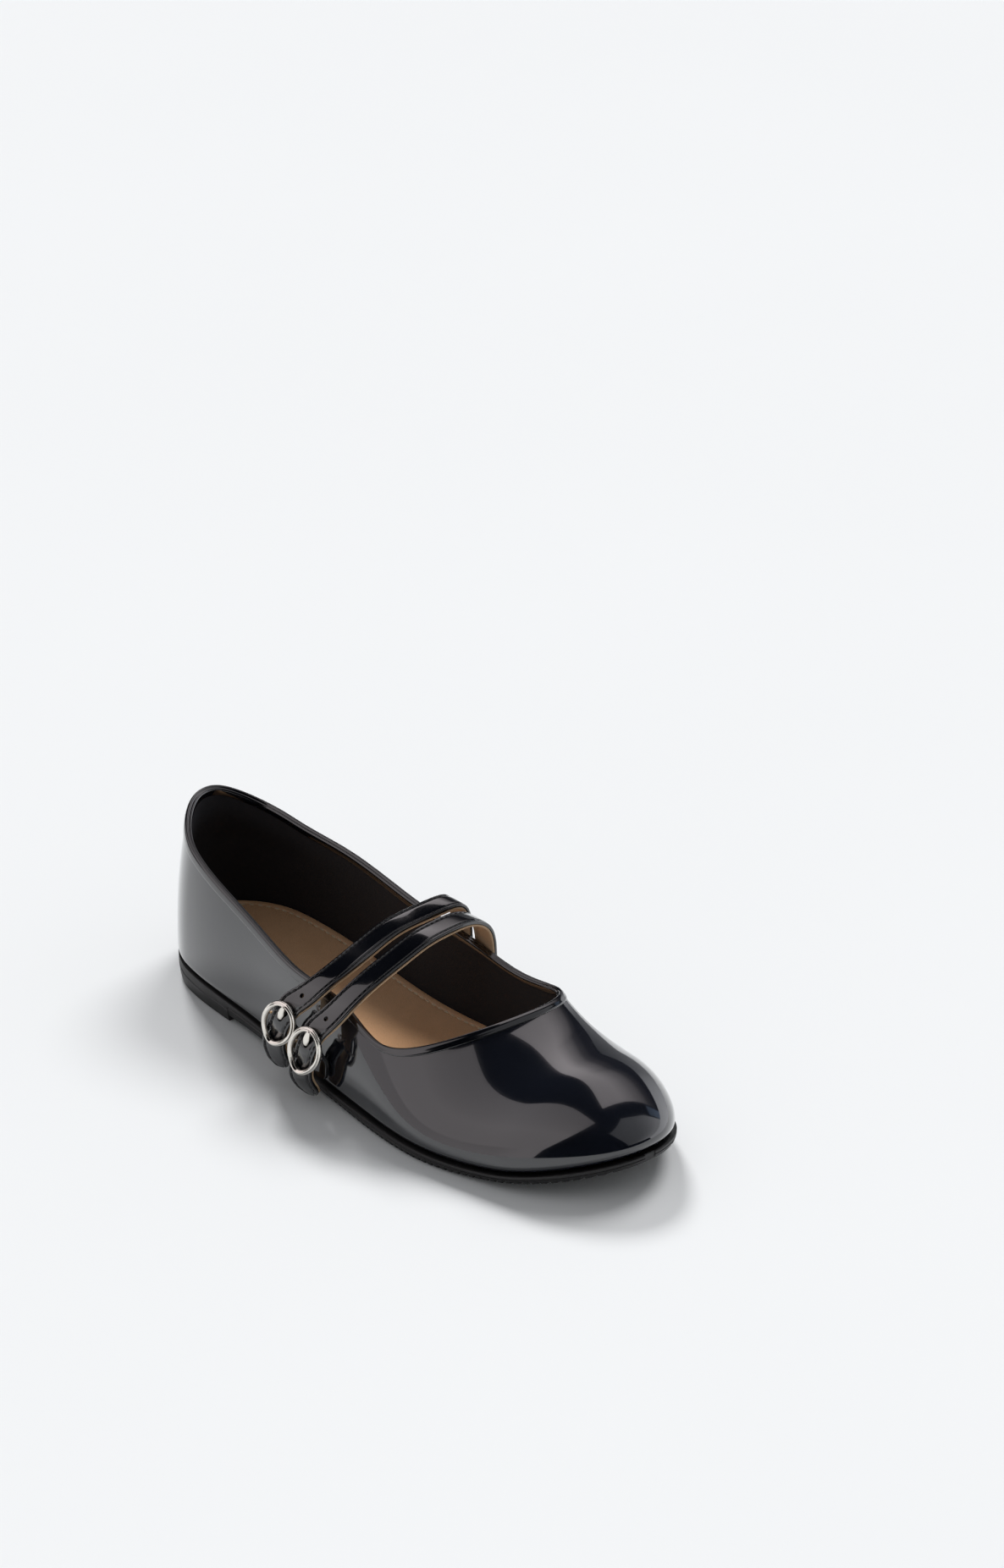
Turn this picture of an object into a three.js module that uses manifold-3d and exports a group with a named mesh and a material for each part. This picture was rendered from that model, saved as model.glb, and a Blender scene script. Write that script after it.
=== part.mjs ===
// Flat mary jane shoe, right foot, black patent, two buckled straps.
// Millimetres. +Z up, toe at -Y, heel at +Y, outer (lateral) side at -X, inner (medial) side at +X.
import * as THREE from "three";
import Module from "manifold-3d";

const wasm = await Module();
wasm.setup();

// ---------------------------------------------------------------- driving dimensions
const LENGTH = 250; // heel to toe along the last
const WALL = 1.8; // patent upper with its lining
const TUCK = 3.5; // how far the upper turns in under the feather line
const TUCK_ANGLE = 70; // degrees of that turn
const GAP = 0.3; // clearance between pieces
const THROAT = 0.715; // where the opening ends, share of the length
const HEEL_CAP = 30; // length of the rounded heel end
const TOE_CAP = 38.5; // length of the rounded toe end
const HEEL_POWER = 2.2; // roundness of the heel end
const TOE_POWER = 2.15; // roundness of the toe end
const HEEL_LEAN = 2.1; // how far the back of the collar leans forward
const HEEL_FULLEST = 25; // height where the back of the heel stands out most
const HEEL_RISE = 38; // the whole lean is reached this far above it
const LEAN_SHARE = 0.25; // share of the length that leans
const TOE_SPRING = 11.8; // rise of the sole at the toe tip
const SHEAR_FROM = 0.3; // ahead of here the rows of the upper fan out towards the toe
const HEEL_LIFT = 58; // length of the heel lift
const WAIST_RISE = 2.2; // clear height of the waist behind the heel breast
const FLAT_FROM = 0.6; // forefoot flat on the floor, from
const FLAT_TO = 0.72; // to
const SOLE_DROP = 3.7; // top of the outsole below the feather line
const SOLE_LIP = 0.7; // outsole beyond the upper at the forefoot
const SOLE_HEEL_LIP = -0.2; // and at the heel
const SOLE_TAPER = 1.0; // the floor edge of the outsole is this much smaller
const INSOLE_INSET = 2.9; // insole outline inside the feather line
const INSOLE_TOP = 0.7; // insole face above the feather line
const INSOLE_THICK = 2.0;
const STRAP_WIDTH = 10.2;
const STRAP_THICK = 2.4;
const STRAP_SQUEEZE = 0.16; // share of its width the strap loses inside the buckle
const SQUEEZE_LENGTH = 8; // half length of that waist
const STRAP_BULGE = 1.6; // the strap rides over the buckle bar by this much
const BULGE_LENGTH = 4.2; // half length of that hump
const TAIL_TAPER = 4; // length of the narrowed free end
const HOLE_RADIUS = 0.95;
const BUCKLE_HALF_WIDTH = 6.2; // centre of the rim, across the strap
const BUCKLE_HALF_HEIGHT = 9.1; // centre of the rim, along the strap
const BUCKLE_POINT = 0.24; // how much narrower the lower half of the frame gets
const RIM = 1.05; // half thickness of the rim
const STRAP_TURN = 14; // degrees the strap has turned towards the toe where it meets the buckle
const TURN_LENGTH = 24; // length of strap over which it turns
const BAR_RADIUS = 0.65;
const PRONG_RADIUS = 0.55;
const PRONG_REACH = 2.6; // the prong comes through the strap this far above the bar
const SPARE_HOLE = 14.5; // the next hole, this far up the strap from the bar
const RIM_LIFT = STRAP_THICK / 2 + RIM + 0.55; // the rim rides in front of the strap
const BAR_LIFT = STRAP_BULGE - STRAP_THICK / 2 - GAP - BAR_RADIUS - 0.15; // the bar runs behind the hump
const TAB_WIDTH = 6.4;
const TAB_THICK = 1.8;
const TAB_LENGTH = 14; // how far below the bar the tab is sewn on

// Sections along the last: u is the share of the length from the heel.
// lateral, medial: half widths of the widest line on each side of the length axis.
const WIDTHS = [
  { u: 0.0, lateral: 20.6, medial: 23.5 },
  { u: 0.12, lateral: 31.2, medial: 27.6 },
  { u: 0.3, lateral: 35.7, medial: 27.4 },
  { u: 0.45, lateral: 41.0, medial: 26.0 },
  { u: 0.6, lateral: 45.2, medial: 30.1 },
  { u: 0.72, lateral: 46.1, medial: 34.8 },
  { u: 0.82, lateral: 40.4, medial: 37.8 },
  { u: 0.91, lateral: 33.3, medial: 35.8 },
  { u: 1.0, lateral: 26.0, medial: 31.4 },
];
// feather: height of the widest line, where the upper turns in to the sole
const FEATHER = [
  { u: 0.0, feather: 13 },
  { u: 0.22, feather: 12 },
  { u: 0.42, feather: 9.5 },
  { u: 0.6, feather: 8 },
  { u: 0.72, feather: 7.5 },
  { u: 0.85, feather: 9 },
  { u: 1.0, feather: TOE_SPRING + 7 },
];
// crown: height of the closed last over the centre; ridge: how far its crest leans to the medial side
const CROWN = [
  { u: 0.0, crown: 86.4 },
  { u: 0.3, crown: 93.3 },
  { u: 0.55, crown: 76.8 },
  { u: THROAT, crown: 39.1 },
  { u: 0.8, crown: 33.6 },
  { u: 0.9, crown: 34.8 },
  { u: 1.0, crown: 30.4 },
];
const RIDGE = [
  { u: 0.0, ridge: 0 },
  { u: 0.3, ridge: 0 },
  { u: THROAT, ridge: 20 },
  { u: 0.88, ridge: 6.3 },
  { u: 1.0, ridge: 0 },
];
// height of the topline on each side
const TOPLINE = [
  { u: 0.0, lateral: 64.3, medial: 64.3 },
  { u: 0.12, lateral: 57.2, medial: 54.9 },
  { u: 0.25, lateral: 49.2, medial: 53.0 },
  { u: 0.4, lateral: 40.5, medial: 46.9 },
  { u: 0.52, lateral: 38.5, medial: 41.5 },
  { u: 0.6, lateral: 31.9, medial: 36.0 },
  { u: THROAT, lateral: 39.1, medial: 39.1 },
];

// ---------------------------------------------------------------- small maths
// Natural cubic spline through (xs, ys).
function spline(xs, ys) {
  const n = xs.length;
  const second = new Array(n).fill(0);
  const work = new Array(n).fill(0);
  for (let i = 1; i < n - 1; i++) {
    const s = (xs[i] - xs[i - 1]) / (xs[i + 1] - xs[i - 1]);
    const p = s * second[i - 1] + 2;
    const before = (ys[i] - ys[i - 1]) / (xs[i] - xs[i - 1]);
    const after = (ys[i + 1] - ys[i]) / (xs[i + 1] - xs[i]);
    second[i] = (s - 1) / p;
    work[i] = ((6 * (after - before)) / (xs[i + 1] - xs[i - 1]) - s * work[i - 1]) / p;
  }
  second[n - 1] = 0;
  for (let i = n - 2; i >= 0; i--) {
    second[i] = second[i] * second[i + 1] + work[i];
  }
  return (x) => {
    let k = 0;
    while (k < n - 2 && x > xs[k + 1]) {
      k++;
    }
    const h = xs[k + 1] - xs[k];
    const a = (xs[k + 1] - x) / h;
    const b = (x - xs[k]) / h;
    const bend = ((a * a * a - a) * second[k] + (b * b * b - b) * second[k + 1]) * ((h * h) / 6);
    return a * ys[k] + b * ys[k + 1] + bend;
  };
}
const column = (table, name) => spline(table.map((row) => row.u), table.map((row) => row[name]));
const clamp = (x, lo, hi) => Math.min(hi, Math.max(lo, x));
// 0 at t = 0, rising like a superellipse to 1 at t = 1
const cap = (t, power) => Math.pow(1 - Math.pow(1 - clamp(t, 0, 1), power), 1 / power);
const vec = (x, y, z) => new THREE.Vector3(x, y, z);

// ---------------------------------------------------------------- the last
const lateralWidth = column(WIDTHS, "lateral");
const medialWidth = column(WIDTHS, "medial");
const feather = column(FEATHER, "feather");
const crown = column(CROWN, "crown");
const ridge = column(RIDGE, "ridge");
const topline = { "-1": column(TOPLINE, "lateral"), 1: column(TOPLINE, "medial") };

const toeCap = (u) => cap(((1 - u) * LENGTH) / TOE_CAP, TOE_POWER);
const halfWidth = (u) => {
  const mean = (lateralWidth(u) + medialWidth(u)) / 2;
  return mean * cap((u * LENGTH) / HEEL_CAP, HEEL_POWER) * toeCap(u);
};
const centre = (u) => (medialWidth(u) - lateralWidth(u)) / 2;
const height = (u) => (crown(u) - feather(u)) * toeCap(u);

// The back of the heel leans in above its fullest height, and half as much below it.
function lean(u, z) {
  const share = Math.pow(clamp(1 - u / LEAN_SHARE, 0, 1), 2);
  const above = Math.pow((z - HEEL_FULLEST) / HEEL_RISE, 2);
  const below = Math.pow((HEEL_FULLEST - z) / HEEL_FULLEST, 2) / 2;
  return HEEL_LEAN * share * (z > HEEL_FULLEST ? above : below);
}

// Point of the last at section u; cosine runs 1 at the widest line to 0 at the crest.
function lastPoint(u, side, cosine) {
  const sine = Math.sqrt(Math.max(0, 1 - cosine * cosine));
  const z = feather(u) + height(u) * sine;
  const x = centre(u) + side * halfWidth(u) * cosine + ridge(u) * sine * sine * toeCap(u);
  return vec(x, LENGTH / 2 - u * LENGTH - lean(u, z), z);
}

// Round the shoe: s runs 0 at the heel, down the lateral side to 1 at the toe, back to 2 at the heel.
function station(s) {
  const loop = ((s % 2) + 2) % 2;
  const side = loop <= 1 ? -1 : 1;
  const share = loop <= 1 ? loop : 2 - loop;
  const u = (1 - Math.cos(Math.PI * share)) / 2;
  const ahead = Math.max(0, u - SHEAR_FROM) / (1 - SHEAR_FROM);
  return { side, low: u, high: u - (1 - THROAT) * ahead * ahead };
}

// Outer face of the upper: t runs 0 at the widest line to 1 at the topline.
function upperPoint(s, t) {
  const { side, low, high } = station(s);
  const sine = clamp((topline[side](high) - feather(high)) / height(high), 0, 1);
  const edge = Math.sqrt(1 - sine * sine);
  const turn = Math.acos(edge);
  const v = (1 - Math.cos(turn * t)) / (1 - edge);
  const u = low + (high - low) * v;
  const width = halfWidth(u) + 1e-9;
  const from = (halfWidth(low) + 1e-9) * (1 - v);
  const to = (halfWidth(high) + 1e-9) * edge * v;
  return lastPoint(u, side, clamp((from + to) / width, 0, 1));
}

function upperNormal(s, t) {
  const step = 0.002;
  const along = upperPoint(s + step, t).sub(upperPoint(s - step, t));
  const low = Math.max(0, t - step);
  const high = Math.min(1, t + step);
  const up = upperPoint(s, high).sub(upperPoint(s, low));
  return along.cross(up).normalize();
}

// Level outward direction at the widest line
function outward(s) {
  const step = 0.002;
  const along = upperPoint(s + step, 0).sub(upperPoint(s - step, 0));
  return vec(-along.y, along.x, 0).normalize().multiplyScalar(-1);
}
const outline = (s, grow) => upperPoint(s, 0).add(outward(s).multiplyScalar(grow));

// ---------------------------------------------------------------- mesh builders
// Closed body from rings of equal length; the rings themselves may close into a tube.
function loft(rings, ringsClose) {
  const count = rings[0].length;
  const positions = [];
  const faces = [];
  rings.forEach((ring) => ring.forEach((p) => positions.push(p.x, p.y, p.z)));
  const last = ringsClose ? rings.length : rings.length - 1;
  for (let i = 0; i < last; i++) {
    const next = (i + 1) % rings.length;
    for (let j = 0; j < count; j++) {
      const k = (j + 1) % count;
      const a = i * count + j;
      const b = i * count + k;
      const c = next * count + k;
      const d = next * count + j;
      faces.push(a, b, c, a, c, d);
    }
  }
  if (!ringsClose) {
    for (let j = 1; j < count - 1; j++) {
      faces.push(0, j + 1, j);
      const base = (rings.length - 1) * count;
      faces.push(base, base + j, base + j + 1);
    }
  }
  return { positions, faces };
}

function signedVolume({ positions, faces }) {
  const at = (i) => vec(positions[3 * i], positions[3 * i + 1], positions[3 * i + 2]);
  let total = 0;
  for (let i = 0; i < faces.length; i += 3) {
    total += at(faces[i]).dot(at(faces[i + 1]).cross(at(faces[i + 2])));
  }
  return total / 6;
}

function faceOut(body) {
  if (signedVolume(body) < 0) {
    for (let i = 0; i < body.faces.length; i += 3) {
      const keep = body.faces[i];
      body.faces[i] = body.faces[i + 1];
      body.faces[i + 1] = keep;
    }
  }
  return body;
}

function solid(body) {
  faceOut(body);
  const mesh = new wasm.Mesh({
    numProp: 3,
    vertProperties: new Float32Array(body.positions),
    triVerts: new Uint32Array(body.faces),
  });
  mesh.merge();
  return new wasm.Manifold(mesh);
}

function fromSolid(joined) {
  const mesh = joined.getMesh();
  return { positions: Array.from(mesh.vertProperties), faces: Array.from(mesh.triVerts) };
}

function toMesh(name, body, colour, roughness, metalness) {
  faceOut(body);
  const geometry = new THREE.BufferGeometry();
  geometry.setAttribute("position", new THREE.Float32BufferAttribute(body.positions, 3));
  geometry.setIndex(body.faces);
  geometry.computeVertexNormals();
  const material = new THREE.MeshStandardMaterial({ color: colour, roughness, metalness });
  const mesh = new THREE.Mesh(geometry, material);
  mesh.name = name;
  return mesh;
}

const steps = (count, build) => Array.from({ length: count }, (unused, i) => build(i));

// ---------------------------------------------------------------- upper
// Rows from the turned-in edge up the outside to the topline and back down the inside.
const COLUMNS = 76;
const SIDE_ROWS = 10;
const TUCK_ROWS = 3;

function upperBody() {
  const rowAt = (s, row, inner) => {
    if (row >= 0) {
      const t = row / SIDE_ROWS;
      const p = upperPoint(s, t);
      return inner ? p.sub(upperNormal(s, t).multiplyScalar(WALL)) : p;
    }
    const turn = (THREE.MathUtils.degToRad(TUCK_ANGLE) * -row) / TUCK_ROWS;
    const out = outward(s);
    const reach = inner ? TUCK - WALL : TUCK;
    const p = upperPoint(s, 0).sub(out.clone().multiplyScalar(TUCK));
    p.add(out.multiplyScalar(reach * Math.cos(turn)));
    p.z -= reach * Math.sin(turn);
    return p;
  };
  const ring = (row, inner) => steps(COLUMNS, (i) => rowAt((2 * i) / COLUMNS, row, inner));
  const rows = steps(TUCK_ROWS + SIDE_ROWS + 1, (i) => i - TUCK_ROWS);
  const outside = rows.map((row) => ring(row, false));
  const inside = rows.map((row) => ring(row, true)).reverse();
  return loft([...outside, ...inside], true);
}

// ---------------------------------------------------------------- outsole and insole
// Underside: heel lift flat on the floor, raised waist, flat forefoot, toe spring.
function underside(u) {
  const breast = HEEL_LIFT / LENGTH;
  if (u <= breast) {
    return 0;
  }
  if (u < FLAT_FROM) {
    const share = (u - breast) / (FLAT_FROM - breast);
    return WAIST_RISE * Math.pow(Math.cos((Math.PI / 2) * share), 0.8);
  }
  if (u <= FLAT_TO) {
    return 0;
  }
  return TOE_SPRING * Math.pow((u - FLAT_TO) / (1 - FLAT_TO), 2.2);
}

// Slab between the two sides of the outline: edge rows run from the top face to the bottom face.
function slab(shares, edgeRows) {
  const sections = shares.map((share) => {
    const lateral = edgeRows.map((row) => row(share, -1));
    const medial = edgeRows.map((row) => row(share, 1));
    return [...lateral, ...medial.reverse()];
  });
  return loft(sections, false);
}

// One row of a slab's edge: the outline grown by grow(u), at height level(u)
function edgeRow(grow, level) {
  return (share, side) => {
    const s = side < 0 ? share.s : 2 - share.s;
    const p = outline(s, grow(share.u));
    p.z = level(share.u);
    return p;
  };
}

const shareOf = (u) => ({ u, s: Math.acos(1 - 2 * clamp(u, 0, 1)) / Math.PI });

function outsoleBody() {
  const breast = HEEL_LIFT / LENGTH;
  const heel = [0.0006, 0.004, 0.012, 0.026, 0.045, 0.07, 0.1, 0.14, 0.19];
  const waist = steps(8, (i) => breast + 0.0012 + ((FLAT_FROM - breast) * i) / 8);
  const ball = steps(5, (i) => FLAT_FROM + ((FLAT_TO - FLAT_FROM) * i) / 4);
  const toe = [0.76, 0.8, 0.84, 0.875, 0.905, 0.93, 0.95, 0.967, 0.98, 0.99, 0.9965, 0.9996];
  const shares = [...heel, breast, ...waist, ...ball, ...toe].map(shareOf);
  const lip = (u) => SOLE_HEEL_LIP + (SOLE_LIP - SOLE_HEEL_LIP) * clamp((u - 0.2) / 0.25, 0, 1);
  const top = (u) => feather(u) - SOLE_DROP;
  const low = (u) => underside(u);
  const rows = [
    edgeRow((u) => lip(u) - 0.5, top),
    edgeRow(lip, (u) => top(u) - 0.4),
    edgeRow((u) => lip(u) - SOLE_TAPER * 0.6, (u) => low(u) + 0.6),
    edgeRow((u) => lip(u) - SOLE_TAPER - 0.2, low),
  ];
  return slab(shares, rows);
}

function insoleBody() {
  const heel = [0.0006, 0.006, 0.02, 0.045, 0.08, 0.13];
  const middle = steps(11, (i) => 0.19 + 0.06 * i);
  const toe = [0.845, 0.88, 0.91, 0.94, 0.965, 0.983, 0.995, 0.9994];
  const shares = [...heel, ...middle, ...toe].map(shareOf);
  const top = (u) => feather(u) + INSOLE_TOP;
  const rows = [
    edgeRow(() => -INSOLE_INSET - 0.4, top),
    edgeRow(() => -INSOLE_INSET, (u) => top(u) - 0.5),
    edgeRow(() => -INSOLE_INSET, (u) => top(u) - INSOLE_THICK),
  ];
  return slab(shares, rows);
}

// ---------------------------------------------------------------- straps
// Centre lines from the sewn medial end, over the instep, down through the buckle to the free end.
// The row marked buckle is where the bar sits.
// Rows with off instead of x lie on the outside of the upper, that far from it.
const REAR_STRAP = [
  { off: 1.9, y: 4.5, z: 20 },
  { off: 1.9, y: 4.5, z: 31 },
  { off: 2, y: 4.5, z: 41 },
  { x: 23.1, y: 4.7, z: 55.7 },
  { x: 16.3, y: 5.8, z: 55.8 },
  { x: 8.1, y: 7.6, z: 54.3 },
  { x: -2.3, y: 8.9, z: 52.5 },
  { x: -15.4, y: 7.9, z: 49.6 },
  { x: -29.7, y: 5.8, z: 46.8 },
  { x: -40.4, y: 6.6, z: 42.5 },
  { x: -44.7, y: 9.5, z: 38.5 },
  { x: -47.6, y: 12.9, z: 34.8 },
  { x: -48.9, y: 16.1, z: 27.5, buckle: true },
  { x: -49.7, y: 19.9, z: 16.9 },
  { x: -46.1, y: 19.4, z: 6.6 },
];
const FRONT_STRAP = [
  { off: 2.3, y: -6.7, z: 19 },
  { off: 2.4, y: -6.7, z: 29 },
  { off: 2.5, y: -6.7, z: 38 },
  { x: 27.1, y: -6.7, z: 49.5 },
  { x: 18.9, y: -7.0, z: 54.8 },
  { x: 9.6, y: -7.2, z: 55.4 },
  { x: -1.6, y: -7.3, z: 54.4 },
  { x: -14.3, y: -7.8, z: 51.2 },
  { x: -28.4, y: -8.4, z: 47.0 },
  { x: -39.7, y: -7.8, z: 41.1 },
  { x: -45.6, y: -5.3, z: 35.5 },
  { x: -49.1, y: -2.3, z: 30.6 },
  { x: -50.5, y: -0.6, z: 23.7, buckle: true },
  { x: -51.7, y: 2.5, z: 12.1 },
  { x: -46.7, y: 1.3, z: 3.0 },
];

// Point beside the outer face of the upper, level with y and z
function beside(side, y, z, off) {
  let u = 0.5 - y / LENGTH;
  u -= lean(u, z) / LENGTH;
  const sine = clamp((z - feather(u)) / height(u), 0, 1);
  return vec(lastPoint(u, side, Math.sqrt(1 - sine * sine)).x + side * off, y, z);
}

function pathOf(table) {
  const points = table.map((row) =>
    row.off === undefined ? vec(row.x, row.y, row.z) : beside(1, row.y, row.z, row.off));
  const lengths = [0];
  for (let i = 1; i < points.length; i++) {
    lengths.push(lengths[i - 1] + points[i].distanceTo(points[i - 1]));
  }
  const axis = (name) => spline(lengths, points.map((p) => p[name]));
  const x = axis("x");
  const y = axis("y");
  const z = axis("z");
  const bare = (l) => vec(x(l), y(l), z(l));
  const total = lengths[lengths.length - 1];
  const buckleAt = lengths[table.findIndex((row) => row.buckle)] ?? total * 2;
  return { bare, total, buckleAt };
}

// Local frame on a path: tangent, width (towards the heel) and outward face direction.
function frameOn(path, l) {
  const step = 0.4;
  const tangent = path.bare(l + step).sub(path.bare(l - step)).normalize();
  const share = THREE.MathUtils.smoothstep(l, path.buckleAt - TURN_LENGTH, path.buckleAt);
  const turn = THREE.MathUtils.degToRad(STRAP_TURN * share);
  const across = vec(-Math.sin(turn), Math.cos(turn), 0);
  const width = across.addScaledVector(tangent, -across.dot(tangent)).normalize();
  const face = vec().crossVectors(width, tangent).normalize();
  return { at: path.bare(l), tangent, width, face };
}

function ribbonRing(frame, width, thick, lift) {
  const corner = Math.min(0.5, width / 4);
  const w = width / 2;
  const t = thick / 2;
  const section = [
    [-w, -t + corner], [-w + corner, -t], [w - corner, -t], [w, -t + corner],
    [w, t - corner], [w - corner, t], [-w + corner, t], [-w, t - corner],
  ];
  return section.map(([across, out]) =>
    frame.at.clone().addScaledVector(frame.width, across).addScaledVector(frame.face, out + lift));
}

function strapBody(table) {
  const path = pathOf(table);
  const count = 46;
  const rings = steps(count, (i) => {
    const l = (path.total * i) / (count - 1);
    const toEnd = path.total - l;
    const tail = 0.45 + 0.55 * Math.sqrt(clamp(toEnd / TAIL_TAPER, 0, 1));
    const near = (length) => Math.exp(-Math.pow((l - path.buckleAt) / length, 2));
    const width = STRAP_WIDTH * tail * (1 - STRAP_SQUEEZE * near(SQUEEZE_LENGTH));
    return ribbonRing(frameOn(path, l), width, STRAP_THICK, STRAP_BULGE * near(BULGE_LENGTH));
  });
  const strip = solid(loft(rings, false));
  const punch = (l) => {
    const frame = frameOn(path, l);
    const sides = 10;
    const ring = (out) => steps(sides, (i) => {
      const a = (2 * Math.PI * i) / sides;
      return frame.at.clone()
        .addScaledVector(frame.width, HOLE_RADIUS * Math.cos(a))
        .addScaledVector(frame.tangent, HOLE_RADIUS * Math.sin(a))
        .addScaledVector(frame.face, out);
    });
    return solid(loft([ring(-2 * STRAP_THICK), ring(2 * STRAP_THICK)], false));
  };
  const prongHole = punch(path.buckleAt - PRONG_REACH);
  const spareHole = punch(path.buckleAt - SPARE_HOLE);
  return fromSolid(strip.subtract(prongHole).subtract(spareHole));
}

// ---------------------------------------------------------------- buckles
function tube(points, radius, sides, closed) {
  const count = points.length;
  const rings = points.map((p, i) => {
    const before = closed ? points[(i + count - 1) % count] : points[Math.max(0, i - 1)];
    const after = closed ? points[(i + 1) % count] : points[Math.min(count - 1, i + 1)];
    const tangent = after.clone().sub(before).normalize();
    const helper = Math.abs(tangent.x) > 0.8 ? vec(0, 0, 1) : vec(1, 0, 0);
    const across = vec().crossVectors(helper, tangent).normalize();
    const up = vec().crossVectors(tangent, across);
    return steps(sides, (k) => {
      const a = (2 * Math.PI * (k + 0.5)) / sides;
      return p.clone()
        .addScaledVector(across, radius * Math.cos(a))
        .addScaledVector(up, radius * Math.sin(a));
    });
  });
  return loft(rings, closed);
}

function buckleBody(table) {
  const path = pathOf(table);
  const frame = frameOn(path, path.buckleAt);
  const place = (across, along, out) => frame.at.clone()
    .addScaledVector(frame.width, across)
    .addScaledVector(frame.tangent, along)
    .addScaledVector(frame.face, out);
  const rimPoint = (a) => {
    const along = -Math.cos(a);
    const narrow = 1 - BUCKLE_POINT * Math.max(0, along) * Math.max(0, along);
    return place(BUCKLE_HALF_WIDTH * Math.sin(a) * narrow, BUCKLE_HALF_HEIGHT * along, RIM_LIFT);
  };
  const rim = tube(steps(30, (i) => rimPoint((2 * Math.PI * i) / 30)), RIM, 8, true);
  const w = BUCKLE_HALF_WIDTH;
  const bar = tube([
    place(-w, 0, RIM_LIFT),
    place(-w, 0, BAR_LIFT + 0.4),
    place(-w + 0.8, 0, BAR_LIFT),
    place(w - 0.8, 0, BAR_LIFT),
    place(w, 0, BAR_LIFT + 0.4),
    place(w, 0, RIM_LIFT),
  ], BAR_RADIUS, 6, false);
  const front = STRAP_BULGE + STRAP_THICK / 2 + GAP + PRONG_RADIUS + 0.2;
  const prong = tube([
    place(0, 0, BAR_LIFT),
    place(0, -PRONG_REACH + 0.5, BAR_LIFT + 0.1),
    place(0, -PRONG_REACH, STRAP_BULGE * 0.7),
    place(0, -PRONG_REACH - 0.6, front),
    place(0, -BUCKLE_HALF_HEIGHT + 0.6, RIM_LIFT + RIM * 0.9),
    place(0, -BUCKLE_HALF_HEIGHT - 0.8, RIM_LIFT + RIM * 0.8),
  ], PRONG_RADIUS, 6, false);
  return fromSolid(solid(rim).add(solid(bar)).add(solid(prong)));
}

// ---------------------------------------------------------------- tabs that hold the buckles
// Sewn flat to the outside of the upper, then out to the bar.
function tabBody(table) {
  const buckle = pathOf(table);
  const frame = frameOn(buckle, buckle.buckleAt);
  const bar = frame.at.clone().addScaledVector(frame.face, BAR_LIFT);
  const off = TAB_THICK / 2 + GAP + 0.5;
  const end = bar.clone().addScaledVector(frame.face, -BAR_RADIUS - GAP - TAB_THICK / 2);
  const y = bar.y;
  const sewn = (share) => beside(-1, y, bar.z - TAB_LENGTH * share, off);
  const rows = [
    sewn(1),
    sewn(0.75),
    sewn(0.5).add(vec(-0.4, 0, 0)),
    sewn(0.3).add(end).multiplyScalar(0.5).setZ(bar.z - 0.3 * TAB_LENGTH),
    vec(end.x + 0.8, y, bar.z - 1.4),
    vec(end.x + 1.1, y, bar.z + 0.8),
  ];
  const path = pathOf(rows);
  const count = 14;
  const rings = steps(count, (i) => {
    const frame = frameOn(path, (path.total * i) / (count - 1));
    return ribbonRing(frame, TAB_WIDTH, TAB_THICK, 0);
  });
  return loft(rings, false);
}

// ---------------------------------------------------------------- assembly
const PATENT = 0x0b0c11;
const RUBBER = 0x111113;
const TAN = 0xb58d63;
const METAL = 0xd9d7d2;

const group = new THREE.Group();
group.name = "mary_jane_shoe";
group.add(toMesh("outsole", outsoleBody(), RUBBER, 0.55, 0));
group.add(toMesh("upper", upperBody(), PATENT, 0.12, 0));
group.add(toMesh("insole", insoleBody(), TAN, 0.6, 0));
group.add(toMesh("strap_rear", strapBody(REAR_STRAP), PATENT, 0.12, 0));
group.add(toMesh("strap_front", strapBody(FRONT_STRAP), PATENT, 0.12, 0));
group.add(toMesh("buckle_rear", buckleBody(REAR_STRAP), METAL, 0.2, 1));
group.add(toMesh("buckle_front", buckleBody(FRONT_STRAP), METAL, 0.2, 1));
group.add(toMesh("tab_rear", tabBody(REAR_STRAP), PATENT, 0.2, 0));
group.add(toMesh("tab_front", tabBody(FRONT_STRAP), PATENT, 0.2, 0));

// Centre the shoe over the origin, standing on the floor.
const bounds = new THREE.Box3().setFromObject(group);
const middle = bounds.getCenter(vec());
group.children.forEach((mesh) => {
  mesh.geometry.translate(-middle.x, -middle.y, -bounds.min.z);
});

export default group;
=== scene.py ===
# %% [markdown]
# # A black patent mary jane, dressed up around its CAD frame
#
# The CAD part gives the true size and place of every piece: sole, upper, insole, two straps, two buckles and
# the tabs that hold them. This script keeps those places and makes each piece again with the curves, rolled
# edges, stitches and finishes of a real shoe. The frame is loaded first, because everything else is set out
# from it.

import math

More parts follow.
